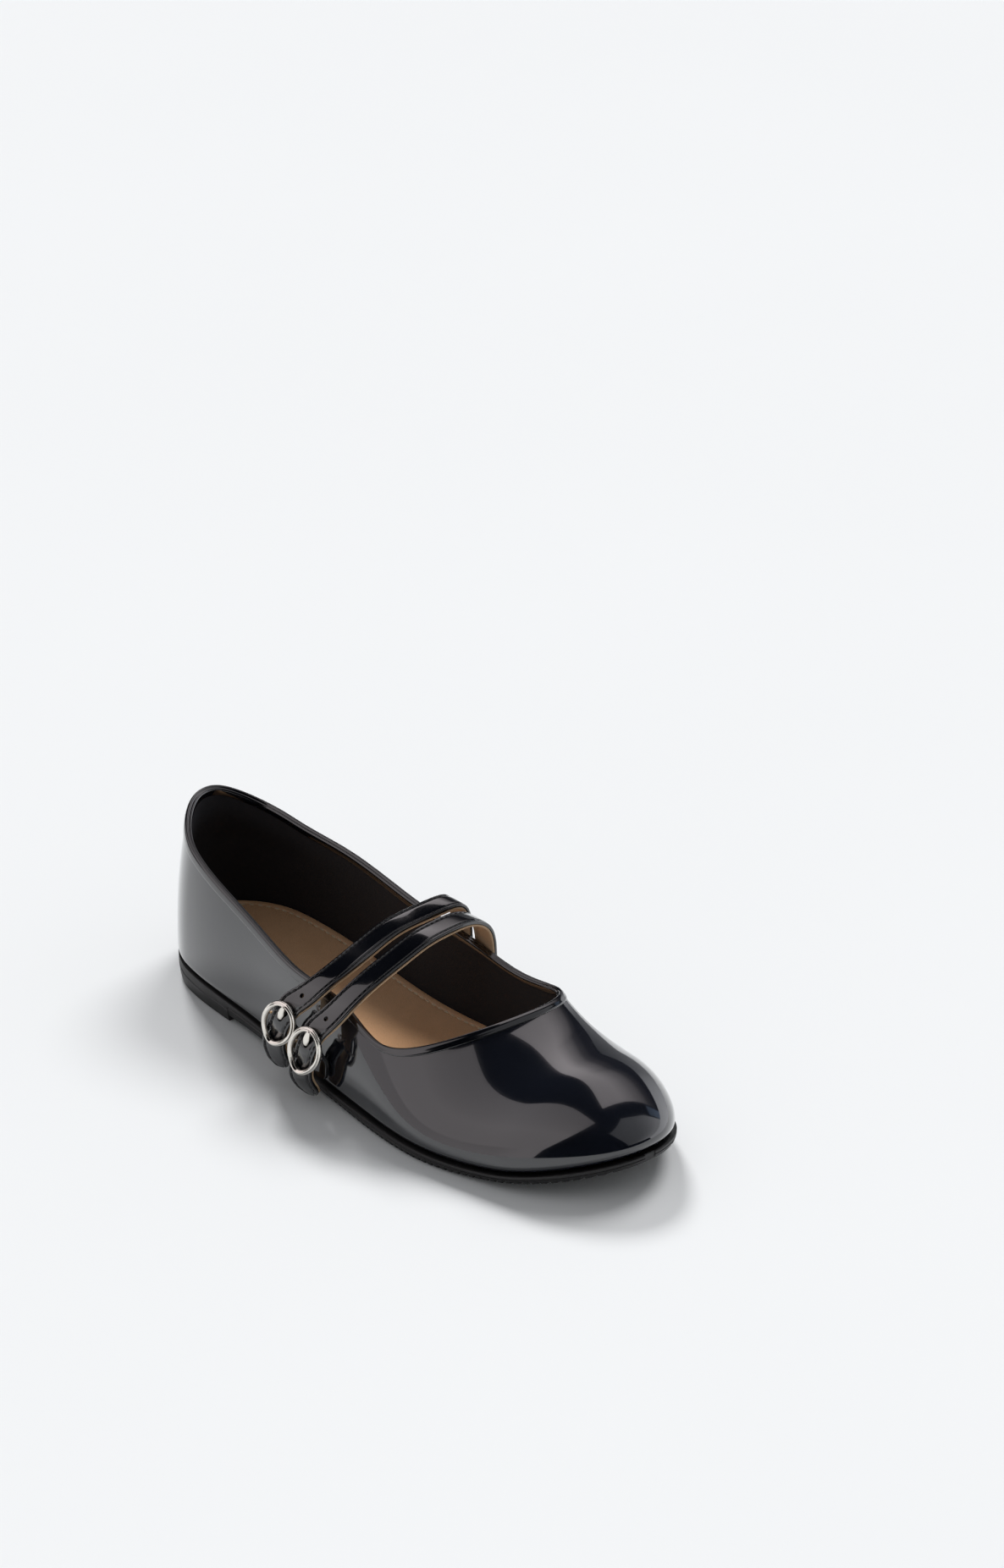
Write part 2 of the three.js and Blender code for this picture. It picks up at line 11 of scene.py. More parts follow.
import bpy
import numpy as np
from mathutils import Matrix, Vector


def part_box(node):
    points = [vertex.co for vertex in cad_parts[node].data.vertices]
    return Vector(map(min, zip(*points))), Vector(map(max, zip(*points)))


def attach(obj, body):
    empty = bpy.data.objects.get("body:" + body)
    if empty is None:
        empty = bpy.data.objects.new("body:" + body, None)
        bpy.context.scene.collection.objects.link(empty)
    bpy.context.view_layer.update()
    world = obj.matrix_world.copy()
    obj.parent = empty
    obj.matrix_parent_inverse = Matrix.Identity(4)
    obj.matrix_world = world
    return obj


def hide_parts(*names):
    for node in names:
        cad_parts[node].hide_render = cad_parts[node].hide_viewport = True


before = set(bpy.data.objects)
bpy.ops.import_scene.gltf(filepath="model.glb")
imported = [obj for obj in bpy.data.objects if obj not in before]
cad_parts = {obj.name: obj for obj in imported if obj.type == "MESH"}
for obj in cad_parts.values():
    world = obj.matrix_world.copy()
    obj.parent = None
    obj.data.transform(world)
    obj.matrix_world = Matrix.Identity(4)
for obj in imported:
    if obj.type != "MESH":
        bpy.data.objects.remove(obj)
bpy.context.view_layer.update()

# %% [markdown]
# ## The last
#
# A shoe is pulled over a last, a solid foot shape. All soft pieces follow its surface, so it is written here
# once as smooth curves through a few sections, in millimetres. u is the share of the length from heel to toe.
# A natural cubic spline goes through the sections, because its curvature has no jumps, and on mirror-like
# patent every jump in curvature would show as a kink in the reflections.

# %% Sections of the last
LENGTH = 250.0
TUCK = 3.5
THROAT = 0.715
SHEAR_FROM = 0.3
HEEL_CAP, HEEL_POWER = 30.0, 2.2
TOE_CAP, TOE_POWER = 38.5, 2.15
TOE_SPRING = 11.8
HEEL_LEAN, HEEL_FULLEST, HEEL_RISE, LEAN_SHARE = 2.1, 25.0, 38.0, 0.25

WIDTHS = {
    "u": [0.0, 0.12, 0.3, 0.45, 0.6, 0.72, 0.82, 0.91, 1.0],
    "lateral": [20.6, 31.2, 35.7, 41.0, 45.2, 46.1, 40.4, 33.3, 26.0],
    "medial": [23.5, 27.6, 27.4, 26.0, 30.1, 34.8, 37.8, 35.8, 31.4],
}
FEATHER = {
    "u": [0.0, 0.22, 0.42, 0.6, 0.72, 0.85, 1.0],
    "height": [13.0, 12.0, 9.5, 8.0, 7.5, 9.0, TOE_SPRING + 7.0],
}
CROWN = {
    "u": [0.0, 0.3, 0.55, THROAT, 0.8, 0.9, 1.0],
    "height": [86.4, 93.3, 76.8, 39.1, 33.6, 34.8, 30.4],
}
RIDGE = {"u": [0.0, 0.3, THROAT, 0.88, 1.0], "shift": [0.0, 0.0, 20.0, 6.3, 0.0]}
TOPLINE = {
    "u": [0.0, 0.12, 0.25, 0.4, 0.52, 0.6, THROAT],
    "lateral": [64.3, 57.2, 49.2, 40.5, 38.5, 31.9, 39.1],
    "medial": [64.3, 54.9, 53.0, 46.9, 41.5, 36.0, 39.1],
}


def natural_spline(xs, ys):
    """The smooth curve through (xs, ys) with straight ends; ys may hold points."""
    xs, ys = np.asarray(xs, float), np.asarray(ys, float)
    count = len(xs)
    gaps = np.diff(xs)
    system = np.eye(count)
    bends = np.zeros_like(ys)
    for i in range(1, count - 1):
        system[i, i - 1 : i + 2] = gaps[i - 1], 2 * (gaps[i - 1] + gaps[i]), gaps[i]
        bends[i] = 6 * ((ys[i + 1] - ys[i]) / gaps[i] - (ys[i] - ys[i - 1]) / gaps[i - 1])
    second = np.linalg.solve(system, bends)

    def curve(x):
        x = np.asarray(x, float)
        k = np.clip(np.searchsorted(xs, x, side="left") - 1, 0, count - 2)
        h = gaps[k]
        a, b = (xs[k + 1] - x) / h, (x - xs[k]) / h
        scale = h * h / 6
        if ys.ndim > 1:
            a, b, scale = a[..., None], b[..., None], scale[..., None]
        bend = ((a**3 - a) * second[k] + (b**3 - b) * second[k + 1]) * scale
        return a * ys[k] + b * ys[k + 1] + bend

    return curve


lateral_width = natural_spline(WIDTHS["u"], WIDTHS["lateral"])
medial_width = natural_spline(WIDTHS["u"], WIDTHS["medial"])
feather = natural_spline(FEATHER["u"], FEATHER["height"])
crown = natural_spline(CROWN["u"], CROWN["height"])
ridge = natural_spline(RIDGE["u"], RIDGE["shift"])
topline_lateral = natural_spline(TOPLINE["u"], TOPLINE["lateral"])
topline_medial = natural_spline(TOPLINE["u"], TOPLINE["medial"])


def cap(t, power):
    return (1 - (1 - np.clip(t, 0, 1)) ** power) ** (1 / power)


def toe_cap(u):
    return cap((1 - u) * LENGTH / TOE_CAP, TOE_POWER)


def half_width(u):
    mean = (lateral_width(u) + medial_width(u)) / 2
    return mean * cap(u * LENGTH / HEEL_CAP, HEEL_POWER) * toe_cap(u)


def centre(u):
    return (medial_width(u) - lateral_width(u)) / 2


def height(u):
    return (crown(u) - feather(u)) * toe_cap(u)


def lean(u, z):
    share = np.clip(1 - u / LEAN_SHARE, 0, 1) ** 2
    above = ((z - HEEL_FULLEST) / HEEL_RISE) ** 2
    below = ((HEEL_FULLEST - z) / HEEL_FULLEST) ** 2 / 2
    return HEEL_LEAN * share * np.where(z > HEEL_FULLEST, above, below)


def last_point(u, side, cosine):
    """Surface of the last: cosine is 1 at the widest line and 0 at the crest."""
    sine = np.sqrt(np.clip(1 - cosine**2, 0, 1))
    z = feather(u) + height(u) * sine
    x = centre(u) + side * half_width(u) * cosine + ridge(u) * sine**2 * toe_cap(u)
    return np.stack([x, LENGTH / 2 - u * LENGTH - lean(u, z), z], -1)


# %% The outer face of the upper
def station(s):
    """s goes round the shoe: 0 at the heel, 1 at the toe by the outer side, 2 at the heel again."""
    loop = np.mod(s, 2)
    side = np.where(loop <= 1, -1.0, 1.0)
    share = np.where(loop <= 1, loop, 2 - loop)
    low = (1 - np.cos(math.pi * share)) / 2
    ahead = np.clip(low - SHEAR_FROM, 0, 1) / (1 - SHEAR_FROM)
    return side, low, low - (1 - THROAT) * ahead**2


def upper_point(s, t):
    """Outer face of the upper: t is 0 at the widest line and 1 at the topline."""
    s, t = np.broadcast_arrays(np.asarray(s, float), np.asarray(t, float))
    side, low, high = station(s)
    top = np.where(side < 0, topline_lateral(high), topline_medial(high))
    sine = np.clip((top - feather(high)) / height(high), 0, 1)
    edge = np.sqrt(1 - sine**2)
    v = (1 - np.cos(np.arccos(edge) * t)) / (1 - edge)
    u = low + (high - low) * v
    tiny = 1e-9
    reach = (half_width(low) + tiny) * (1 - v) + (half_width(high) + tiny) * edge * v
    return last_point(u, side, np.clip(reach / (half_width(u) + tiny), 0, 1))


def unit(vectors):
    return vectors / np.maximum(np.linalg.norm(vectors, axis=-1, keepdims=True), 1e-12)


STEP = 0.002


def upper_frame(s, t):
    """Directions along the shoe, up the side, and outwards at a point of the upper."""
    s, t = np.broadcast_arrays(np.asarray(s, float), np.asarray(t, float))
    along = upper_point(s + STEP, t) - upper_point(s - STEP, t)
    up = upper_point(s, np.minimum(t + STEP, 1)) - upper_point(s, np.maximum(t - STEP, 0))
    out = unit(np.cross(along, up))
    return unit(along), unit(up), out


def level_outward(s):
    along = upper_point(s + STEP, 0) - upper_point(s - STEP, 0)
    return unit(np.stack([along[..., 1], -along[..., 0], 0 * along[..., 0]], -1))


def outline(s, grow):
    return upper_point(s, 0) + level_outward(s) * np.asarray(grow)[..., None]


# %% [markdown]
# ## From the last to the frame
#
# The CAD part was centred over the origin before it was packed. The same grid of points on the upper is
# measured here and in the frame, and the difference is the shift that takes any point of the last to its
# place. All meshes are built in millimetres and leave this script in metres.

# %% Find the shift
CAD_COLUMNS, CAD_ROWS = 76, 10
grid = upper_point(2 * np.arange(CAD_COLUMNS)[:, None] / CAD_COLUMNS, np.arange(CAD_ROWS + 1) / CAD_ROWS)
low_corner, high_corner = (np.array(c) * 1000 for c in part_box("upper"))
middle = (grid.reshape(-1, 3).min(0) + grid.reshape(-1, 3).max(0)) / 2
shift = (low_corner + high_corner) / 2 - middle
shift[2] = high_corner[2] - grid[..., 2].max()
print("shift from last to frame, mm:", shift.round(3))


def to_frame(points):
    return (np.asarray(points, float) + shift) / 1000


# %% [markdown]
# ## The camera
#
# A long lens from above the outer side of the toe, a good metre and a half away, keeps the shoe's shape
# nearly free of perspective. Its place is a point beside the last, turned into the frame like everything
# else. The camera looks level along its own axis, so no lens shift is needed.

# %% Set the camera
CAMERA_AT = (-1144.2, -1350.8, 1027.4)
CAMERA_AZIMUTH, CAMERA_ELEVATION = math.radians(-41.317), math.radians(27.293)
LENS = 127.07

back = np.array([
    math.sin(CAMERA_AZIMUTH) * math.cos(CAMERA_ELEVATION),
    -math.cos(CAMERA_AZIMUTH) * math.cos(CAMERA_ELEVATION),
    math.sin(CAMERA_ELEVATION),
])
right = unit(np.cross([0, 0, 1], back))
up = np.cross(back, right)
camera_data = bpy.data.cameras.new("camera")
camera_data.lens = LENS
camera_data.sensor_width = 36
camera_data.clip_start = 0.05
camera = bpy.data.objects.new("camera", camera_data)
placement = np.eye(4)
placement[:3, :3] = np.stack([right, up, back], 1)
placement[:3, 3] = to_frame(CAMERA_AT)
camera.matrix_world = Matrix(placement.tolist())
bpy.context.scene.collection.objects.link(camera)
bpy.context.scene.camera = camera
bpy.context.scene.view_settings.view_transform = "Standard"
print("camera at", placement[:3, 3].round(3))

# %% [markdown]
# ## Writing finishes as sums
#
# A finish is a small network of nodes. Wiring each node by hand hides the idea, so one class wraps a socket
# and lets Python's + - * / build the Math nodes. Another holds the material: its one method `node` makes any
# other node from its type, its settings and its sockets.


# %% Socket wrapper
class Value:
    """A number that changes over the surface."""

    def __init__(self, finish, socket):
        self.finish, self.socket = finish, socket

    def _math(self, operation, first, second):
        return self.finish.node("Math", {"operation": operation}, {0: first, 1: second})

    def __add__(self, other):
        return self._math("ADD", self, other)

    def __sub__(self, other):
        return self._math("SUBTRACT", self, other)

    def __rsub__(self, other):
        return self._math("SUBTRACT", other, self)

    def __mul__(self, other):
        return self._math("MULTIPLY", self, other)

    def __truediv__(self, other):
        return self._math("DIVIDE", self, other)

    def __rtruediv__(self, other):
        return self._math("DIVIDE", other, self)

    __radd__ = __add__
    __rmul__ = __mul__


class Finish:
    """A material written as expressions."""

    def __init__(self, name):
        self.material = bpy.data.materials.new(name)
        self.material.use_nodes = True
        self.tree = self.material.node_tree
        self.tree.nodes.clear()

    def node(self, kind, settings=None, sockets=None, output=0):
        made = self.tree.nodes.new("ShaderNode" + kind)
        for name, value in (settings or {}).items():
            if name == "stops":
                self._set_stops(made.color_ramp.elements, value)
            else:
                setattr(made, name, value)
        for name, value in (sockets or {}).items():
            if isinstance(value, Value):
                self.tree.links.new(value.socket, made.inputs[name])
            else:
                made.inputs[name].default_value = value
        return Value(self, made.outputs[output])

    @staticmethod
    def _set_stops(elements, stops):
        while len(elements) < len(stops):
            elements.new(0.5)
        for element, (position, shade) in zip(elements, stops):
            element.position = position
            element.color = (shade, shade, shade, 1)

    def place(self):
        return self.node("TexCoord", output="Object")

    def noise(self, scale, detail=2.0, roughness=0.5, at=None):
        sockets = {"Vector": at or self.place(), "Scale": scale, "Detail": detail, "Roughness": roughness}
        return self.node("TexNoise", {}, sockets)

    def cells(self, scale, feature="DISTANCE_TO_EDGE"):
        return self.node("TexVoronoi", {"feature": feature}, {"Vector": self.place(), "Scale": scale})

    def ramp(self, value, *stops):
        return self.node("ValToRGB", {"stops": stops}, {"Fac": value})

    def mix(self, factor, first, second):
        sockets = {0: factor, 6: (*first, 1) if isinstance(first, tuple) else first}
        sockets[7] = (*second, 1) if isinstance(second, tuple) else second
        return self.node("Mix", {"data_type": "RGBA"}, sockets, output=2)

    def bump(self, height_value, distance, strength=1.0):
        return self.node("Bump", {}, {"Height": height_value, "Distance": distance, "Strength": strength})

    def surface(self, **sockets):
        """Principled surface; a socket's name is written with _ for each space."""
        named = {name.replace("_", " "): value for name, value in sockets.items()}
        shader = self.node("BsdfPrincipled", {}, named)
        out = self.tree.nodes.new("ShaderNodeOutputMaterial")
        self.tree.links.new(shader.socket, out.inputs["Surface"])
        return self.material


# %% [markdown]
# ## Patent
#
# Patent is leather under a thick clear lacquer. The leather below is nearly black with a touch of navy. The
# lacquer mirrors the room but it is never a perfect mirror: it has a faint orange peel of a few millimetres
# and slow ripples where the leather was pulled over the last. So the base is dark and fairly glossy, a clear
# coat lies on it, and two noises of different size feed the bump. Handling leaves a faint haze in the gloss.


# %% Patent finish
def patent(name, peel, ripple, haze=0.05, tone=1.0):
    f = Finish(name)
    smudge = f.ramp(f.noise(60, 5, 0.6), (0.35, 0.0), (0.75, 1.0))
    deep = tuple(tone * part for part in (0.0022, 0.0025, 0.0036))
    clear = tuple(tone * part for part in (0.0034, 0.0042, 0.0070))
    colour = f.mix(f.noise(28, 3), deep, clear)
    relief = f.noise(330, 2) * peel + f.noise(70, 1) * ripple
    return f.surface(
        Base_Color=colour,
        Roughness=smudge * haze + 0.09,
        IOR=1.5,
        Coat_Weight=1.0,
        Coat_Roughness=0.02,
        Coat_IOR=1.55,
        Normal=f.bump(relief, 0.001),
    )


upper_finish = patent("black_patent", peel=0.010, ripple=0.05, tone=2.2)
strap_finish = patent("black_patent_strap", peel=0.016, ripple=0.03, haze=0.08)
binding_finish = patent("black_patent_binding", peel=0.02, ripple=0.0, haze=0.1)
print("patent finishes:", upper_finish.name, strap_finish.name, binding_finish.name)

# %% [markdown]
# ## The quieter finishes
#
# The lining is a matt black cloth-backed sheet with a tight grain. The insole is tan leatherette: small
# polygon cells pressed in the surface, lighter on the tops than in the creases. The straps' backing is a
# soft tan suede. Rubber is black with a dusty bloom. The buckles are nickel plate with hairline scratches.


# %% Lining, insole, backing, rubber, nickel and thread
def lining_cloth():
    f = Finish("lining_cloth")
    grain = f.noise(2600, 2)
    colour = f.mix(f.noise(90, 4), (0.0060, 0.0062, 0.0100), (0.0100, 0.0105, 0.0160))
    return f.surface(Base_Color=colour, Roughness=0.75 + grain * 0.1, Normal=f.bump(grain, 0.0002, 0.6))


def tan_leatherette():
    f = Finish("tan_leatherette")
    pores = f.ramp(f.cells(1500), (0.0, 0.0), (0.12, 1.0))
    cloud = f.noise(38, 4, 0.6)
    colour = f.mix(cloud, (0.66, 0.37, 0.19), (0.80, 0.48, 0.265))
    colour = f.mix((1 - pores) * 0.3, colour, (0.36, 0.18, 0.08))
    grain = pores * 0.6 + f.noise(900, 3) * 0.4
    rough = 0.42 + cloud * 0.14 - pores * 0.05
    return f.surface(Base_Color=colour, Roughness=rough, Normal=f.bump(grain, 0.00012, 0.7))


def tan_suede():
    f = Finish("tan_suede")
    nap = f.noise(1800, 3, 0.7)
    colour = f.mix(nap, (0.40, 0.26, 0.15), (0.72, 0.52, 0.34))
    return f.surface(Base_Color=colour, Roughness=0.8 + nap * 0.1, Normal=f.bump(nap, 0.0002, 0.8))


def black_rubber():
    f = Finish("black_rubber")
    bloom = f.noise(120, 4, 0.6)
    colour = f.mix(bloom, (0.003, 0.003, 0.0035), (0.009, 0.009, 0.0095))
    grain = f.noise(1500, 3)
    return f.surface(Base_Color=colour, Roughness=0.38 + bloom * 0.2, Normal=f.bump(grain, 0.0001, 0.5))


def nickel():
    f = Finish("nickel_plate")
    stretched = f.node("Mapping", {}, {"Vector": f.place(), "Scale": (1.0, 1.0, 14.0)})
    scratch = f.ramp(f.noise(900, 3, 0.7, at=stretched), (0.45, 0.0), (0.7, 1.0))
    colour = f.mix(f.noise(200, 2), (0.74, 0.70, 0.63), (0.86, 0.83, 0.78))
    return f.surface(
        Base_Color=colour,
        Metallic=1.0,
        Roughness=0.1 + scratch * 0.1,
        Normal=f.bump(scratch, 0.00002, 0.3),
    )


def thread(name, dark, light, rough):
    f = Finish(name)
    twist = f.noise(2500, 2)
    return f.surface(
        Base_Color=f.mix(twist, dark, light), Roughness=rough + twist * 0.2, Normal=f.bump(twist, 0.0002)
    )


lining_finish = lining_cloth()
insole_finish = tan_leatherette()
backing_finish = tan_suede()
rubber_finish = black_rubber()
nickel_finish = nickel()
black_thread = thread("black_thread", (0.002, 0.002, 0.003), (0.008, 0.008, 0.010), rough=0.28)
pale_thread = thread("pale_thread", (0.62, 0.46, 0.29), (0.86, 0.70, 0.50), rough=0.5)

# %% [markdown]
# ## Making meshes from rings
#
# Nearly every piece of a shoe is a section carried along a line: a strap, a binding, the sole seen slice by
# slice. `loft` joins rings of points into one closed skin, and `add_piece` puts it in the frame, gives it its
# finish, and hides the CAD node it stands for.


# %% Loft and add pieces
def loft(rings, rings_close=False):
    """Quads between rings shaped (rings, points, 3); open ends are closed with one face each."""
    count, around = rings.shape[:2]
    i = np.arange(count if rings_close else count - 1)[:, None]
    j = np.arange(around)[None, :]
    following, across = (i + 1) % count, (j + 1) % around
    quads = np.stack(np.broadcast_arrays(i * around + j, i * around + across,
                                         following * around + across, following * around + j), -1)
    faces = quads.reshape(-1, 4).tolist()
    if not rings_close:
        faces.append(list(range(around))[::-1])
        faces.append(list(range((count - 1) * around, count * around)))
    return rings.reshape(-1, 3), faces


def signed_volume(points, faces):
    total = 0.0
    for face in faces:
        p = points[face]
        total += np.einsum("ij,ij->", np.cross(p[1:-1], p[2:]), np.broadcast_to(p[0], p[2:].shape))
    return total / 6


def add_piece(name, body, finish, stands_for=None, sharp_degrees=40):
    points, faces = body
    if signed_volume(points, faces) < 0:
        faces = [face[::-1] for face in faces]
    mesh = bpy.data.meshes.new(name)
    mesh.from_pydata(to_frame(points).tolist(), [], faces)
    mesh.validate()
    mesh.materials.append(finish)
    mesh.polygons.foreach_set("use_smooth", [True] * len(mesh.polygons))
    mesh.set_sharp_from_angle(angle=math.radians(sharp_degrees))
    piece = bpy.data.objects.new(name, mesh)
    bpy.context.scene.collection.objects.link(piece)
    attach(piece, "root")
    if stands_for:
        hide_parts(stands_for)
    print(name, len(mesh.polygons), "faces")
    return piece


# %% [markdown]
# ## The upper
#
# The upper is one sheet of patent stretched over the last and turned in below the widest line, where the
# sole is glued on. It is made as a closed skin: up the outside, over the top and down the inside. At the back
# of the heel the two halves meet in a closed seam, a fine groove that runs from the sole to the collar.

# %% Patent skin
UPPER_COLUMNS = 320
UPPER_ROWS = 56
TUCK_ROWS = 6
TUCK_ANGLE = math.radians(70)
SKIN = 1.0
SEAM_DEPTH, SEAM_HALF_WIDTH = 0.35, 0.7


def shell_rings(columns, rows, outer, inner):
    """Rows from the turned-in edge to the topline and back, between two depths under the outer face."""
    s = 2 * np.arange(columns)[None, :] / columns
    t = np.linspace(0, 1, rows)[:, None]
    face = upper_point(s, t)
    out = upper_frame(s, t)[2]
    turn = np.linspace(TUCK_ANGLE, 0, TUCK_ROWS, endpoint=False)[:, None, None]
    level = level_outward(s[0])
    base = (upper_point(s[0], 0) - level * TUCK)[None]

    def side(depth):
        depth = np.broadcast_to(depth, (rows, columns))[..., None]
        reach = TUCK - depth[:1]
        turned = base + level * reach * np.cos(turn) - np.array([0, 0, 1]) * reach * np.sin(turn)
        return np.concatenate([turned, face - out * depth])

    return np.concatenate([side(outer), side(inner)[::-1]])


around = 2 * np.arange(UPPER_COLUMNS) / UPPER_COLUMNS
from_back = np.abs(upper_point(around, 0.5)[:, 0] - upper_point(0.0, 0.5)[0])
seam = SEAM_DEPTH * np.exp(-((from_back / SEAM_HALF_WIDTH) ** 2)) * ((around < 0.2) | (around > 1.8))
add_piece(
    "upper_patent",
    loft(shell_rings(UPPER_COLUMNS, UPPER_ROWS, seam[None, :], SKIN), rings_close=True),
    upper_finish,
    stands_for="upper",
)

# %% [markdown]
# ## Lining and binding
#
# Inside the patent lies a matt black lining, a little padded at the back of the collar where it grips the
# heel. Round the whole opening the edge is bound with a rolled strip of patent. Its section has two lobes,
# the roll on the edge and the facing turned to the inside, with a fine valley between them, which gives the
# double line round the collar.

# %% Lining
LINING_COLUMNS, LINING_ROWS = 220, 44
LINING_FROM, LINING_TO = 1.05, 1.85
GRIP = 1.3

s_line = 2 * np.arange(LINING_COLUMNS) / LINING_COLUMNS
t_line = np.linspace(0, 1, LINING_ROWS)[:, None]
near_heel = np.exp(-((upper_point(s_line, 1.0)[:, 1] - LENGTH / 2) / 38) ** 2)
grip = GRIP * near_heel * np.sin(math.pi * np.clip((t_line - 0.5) / 0.5, 0, 1)) ** 2
add_piece(
    "upper_lining",
    loft(shell_rings(LINING_COLUMNS, LINING_ROWS, LINING_FROM, LINING_TO + grip), rings_close=True),
    lining_finish,
)

# %% Binding
BINDING = np.array([
    (0.02, -2.9), (0.42, -2.75), (0.56, -2.1), (0.60, -1.0), (0.50, -0.1), (0.10, 0.55), (-0.50, 0.72),
    (-1.00, 0.42), (-1.22, 0.20), (-1.45, 0.40), (-1.90, 0.42), (-2.30, 0.02), (-2.48, -0.8), (-2.46, -2.2),
    (-2.20, -2.75), (-1.80, -2.8), (-1.20, -2.4), (-0.60, -2.5),
])
BINDING_COLUMNS, BINDING_POINTS = 420, 48


def closed_curve(corners, count):
    """count points on a smooth closed line through the corners."""
    wrapped = np.concatenate([corners[-3:], corners, corners[:4]])
    lengths = np.concatenate([[0], np.cumsum(np.linalg.norm(np.diff(wrapped, axis=0), axis=1))])
    curve = natural_spline(lengths, wrapped)
    return curve(lengths[3] + (lengths[3 + len(corners)] - lengths[3]) * np.arange(count) / count)


section = closed_curve(BINDING, BINDING_POINTS)
s_bind = 2 * np.arange(BINDING_COLUMNS) / BINDING_COLUMNS
edge_at = upper_point(s_bind, 1.0)[:, None]
_, edge_up, edge_out = (v[:, None] for v in upper_frame(s_bind, 1.0))
binding_rings = edge_at + edge_out * section[None, :, :1] + edge_up * section[None, :, 1:]
add_piece("topline_binding", loft(binding_rings, rings_close=True), binding_finish)

# %% [markdown]
# ## The insole
#
# The insole sock is leatherette on a thin board, cupped a little under the foot, with a row of pale
# stitches a few millimetres inside its edge. A stitch is a short piece of thread, so each one is its own
# small capsule, half sunk in a shallow groove. One helper makes any row of stitches.

# %% Insole
INSOLE_INSET = 2.2
INSOLE_TOP, INSOLE_THICK = 0.7, 2.0
INSOLE_CUP = 1.1
STITCH_INSET = 3.2
GROOVE_DEPTH, GROOVE_HALF = 0.35, 0.45


def share_of(u):
    return np.arccos(1 - 2 * np.clip(u, 0, 1)) / math.pi


def slice_ends(u, grow):
    """Points on the outer and inner side of the outline at each share u."""
    s = share_of(u)
    return outline(s, grow), outline(2 - s, grow)


def insole_height(u, inward):
    """Top of the insole, inward mm from its edge."""
    cup = INSOLE_CUP * (1 - np.exp(-np.clip(inward, 0, None) / 9))
    groove = GROOVE_DEPTH * np.exp(-(((inward - STITCH_INSET) / GROOVE_HALF) ** 2))
    edge_roll = 0.6 * np.exp(-np.clip(inward, 0, None) / 0.5)
    return feather(u) + INSOLE_TOP + 0.3 - cup - groove - edge_roll


def insole_rings():
    u = (1 - np.cos(np.linspace(0.035, math.pi - 0.035, 240))) / 2
    lateral, medial = slice_ends(u, np.full_like(u, -INSOLE_INSET))
    near = np.concatenate([np.linspace(0, 4.8, 17), [6.5, 9, 13]])
    rings = []
    for left, right_end, share in zip(lateral, medial, u):
        width = np.linalg.norm(right_end - left)
        inward = np.minimum(near, width / 2 - 0.02)
        inward = np.concatenate([inward, [width / 2], width - inward[::-1]])
        x = left[0] + inward
        y = left[1] + (right_end[1] - left[1]) * inward / width
        ends = np.clip(np.minimum(share, 1 - share) * LENGTH - 0.9, 0, None)
        to_edge = np.minimum(np.minimum(inward, width - inward), np.maximum(ends, 0.0) + 0 * inward)
        top = np.stack([x, y, insole_height(share, to_edge)], -1)
        low = np.stack([x[::-1], y[::-1], 0 * x + feather(share) + INSOLE_TOP - INSOLE_THICK], -1)
        rings.append(np.concatenate([top, low]))
    return np.array(rings)


add_piece("insole_sock", loft(insole_rings()), insole_finish, stands_for="insole")


# %% Stitches
def stitch_row(line, normals, pitch, length, radius):
    """Capsules of thread along a line of points; normals point away from the material."""
    gaps = np.linalg.norm(np.diff(line, axis=0), axis=1)
    at = np.concatenate([[0], np.cumsum(gaps)])
    middles = np.arange(pitch / 2, at[-1] - pitch / 3, pitch)

    def along(values, where):
        return np.stack([np.interp(where, at, values[:, k]) for k in range(3)], -1)

    start, end = along(line, middles - length / 2), along(line, middles + length / 2)
    axis = unit(end - start)
    normal = along(normals, middles)
    normal = unit(normal - axis * np.sum(normal * axis, -1, keepdims=True))
    side = np.cross(axis, normal)
    shares = np.array([0.0, 0.1, 0.32, 0.68, 0.9, 1.0])
    fullness = np.array([0.25, 0.75, 1.0, 1.0, 0.75, 0.25])
    sink = -radius * 1.1 * (2 * shares - 1) ** 4
    angles = 2 * math.pi * np.arange(6) / 6
    spread = radius * fullness[:, None] * np.cos(angles)
    rise = radius * fullness[:, None] * np.sin(angles) + sink[:, None]
    rings = (
        (start[:, None] + (end - start)[:, None] * shares[:, None])[:, :, None]
        + side[:, None, None] * spread[None, :, :, None]
        + normal[:, None, None] * rise[None, :, :, None]
    )
    bodies = [loft(ring) for ring in rings]
    count = rings.shape[1] * rings.shape[2]
    faces = [[v + k * count for v in face] for k, (_, part) in enumerate(bodies) for face in part]
    return np.concatenate([points for points, _ in bodies]), faces


def join(bodies):
    points, faces, start = [], [], 0
    for some_points, some_faces in bodies:
        points.append(some_points)
        faces += [[v + start for v in face] for face in some_faces]
        start += len(some_points)
    return np.concatenate(points), faces


s_sewn = np.linspace(0, 2, 900)
sewn = outline(s_sewn, np.full_like(s_sewn, -INSOLE_INSET - STITCH_INSET))
u_sewn = 0.5 - sewn[:, 1] / LENGTH
sewn[:, 2] = insole_height(u_sewn, STITCH_INSET) + 0.16
add_piece(
    "insole_stitches",
    stitch_row(sewn, np.tile([0.0, 0.0, 1.0], (len(sewn), 1)), pitch=3.4, length=2.5, radius=0.36),
    pale_thread,
)

# %% [markdown]
# ## The outsole
#
# The sole is moulded rubber: a low heel, a raised waist, a flat tread under the ball and the toe curled
# off the floor. A moulded line runs round its edge just under the upper, and cross ribs for grip are cut in
# the underside and show as fine teeth along the edge. Each slice across the sole is one ring.

# %% Outsole
HEEL_LIFT = 58.0
WAIST_RISE = 2.2
FLAT_FROM, FLAT_TO = 0.6, 0.72
SOLE_DROP = 3.7
SOLE_LIP, SOLE_HEEL_LIP, SOLE_TAPER = 0.7, -0.2, 1.0
RIB_PITCH, RIB_DEPTH = 2.9, 0.75
RIBS_FROM, RIBS_TO = 0.5, 0.992


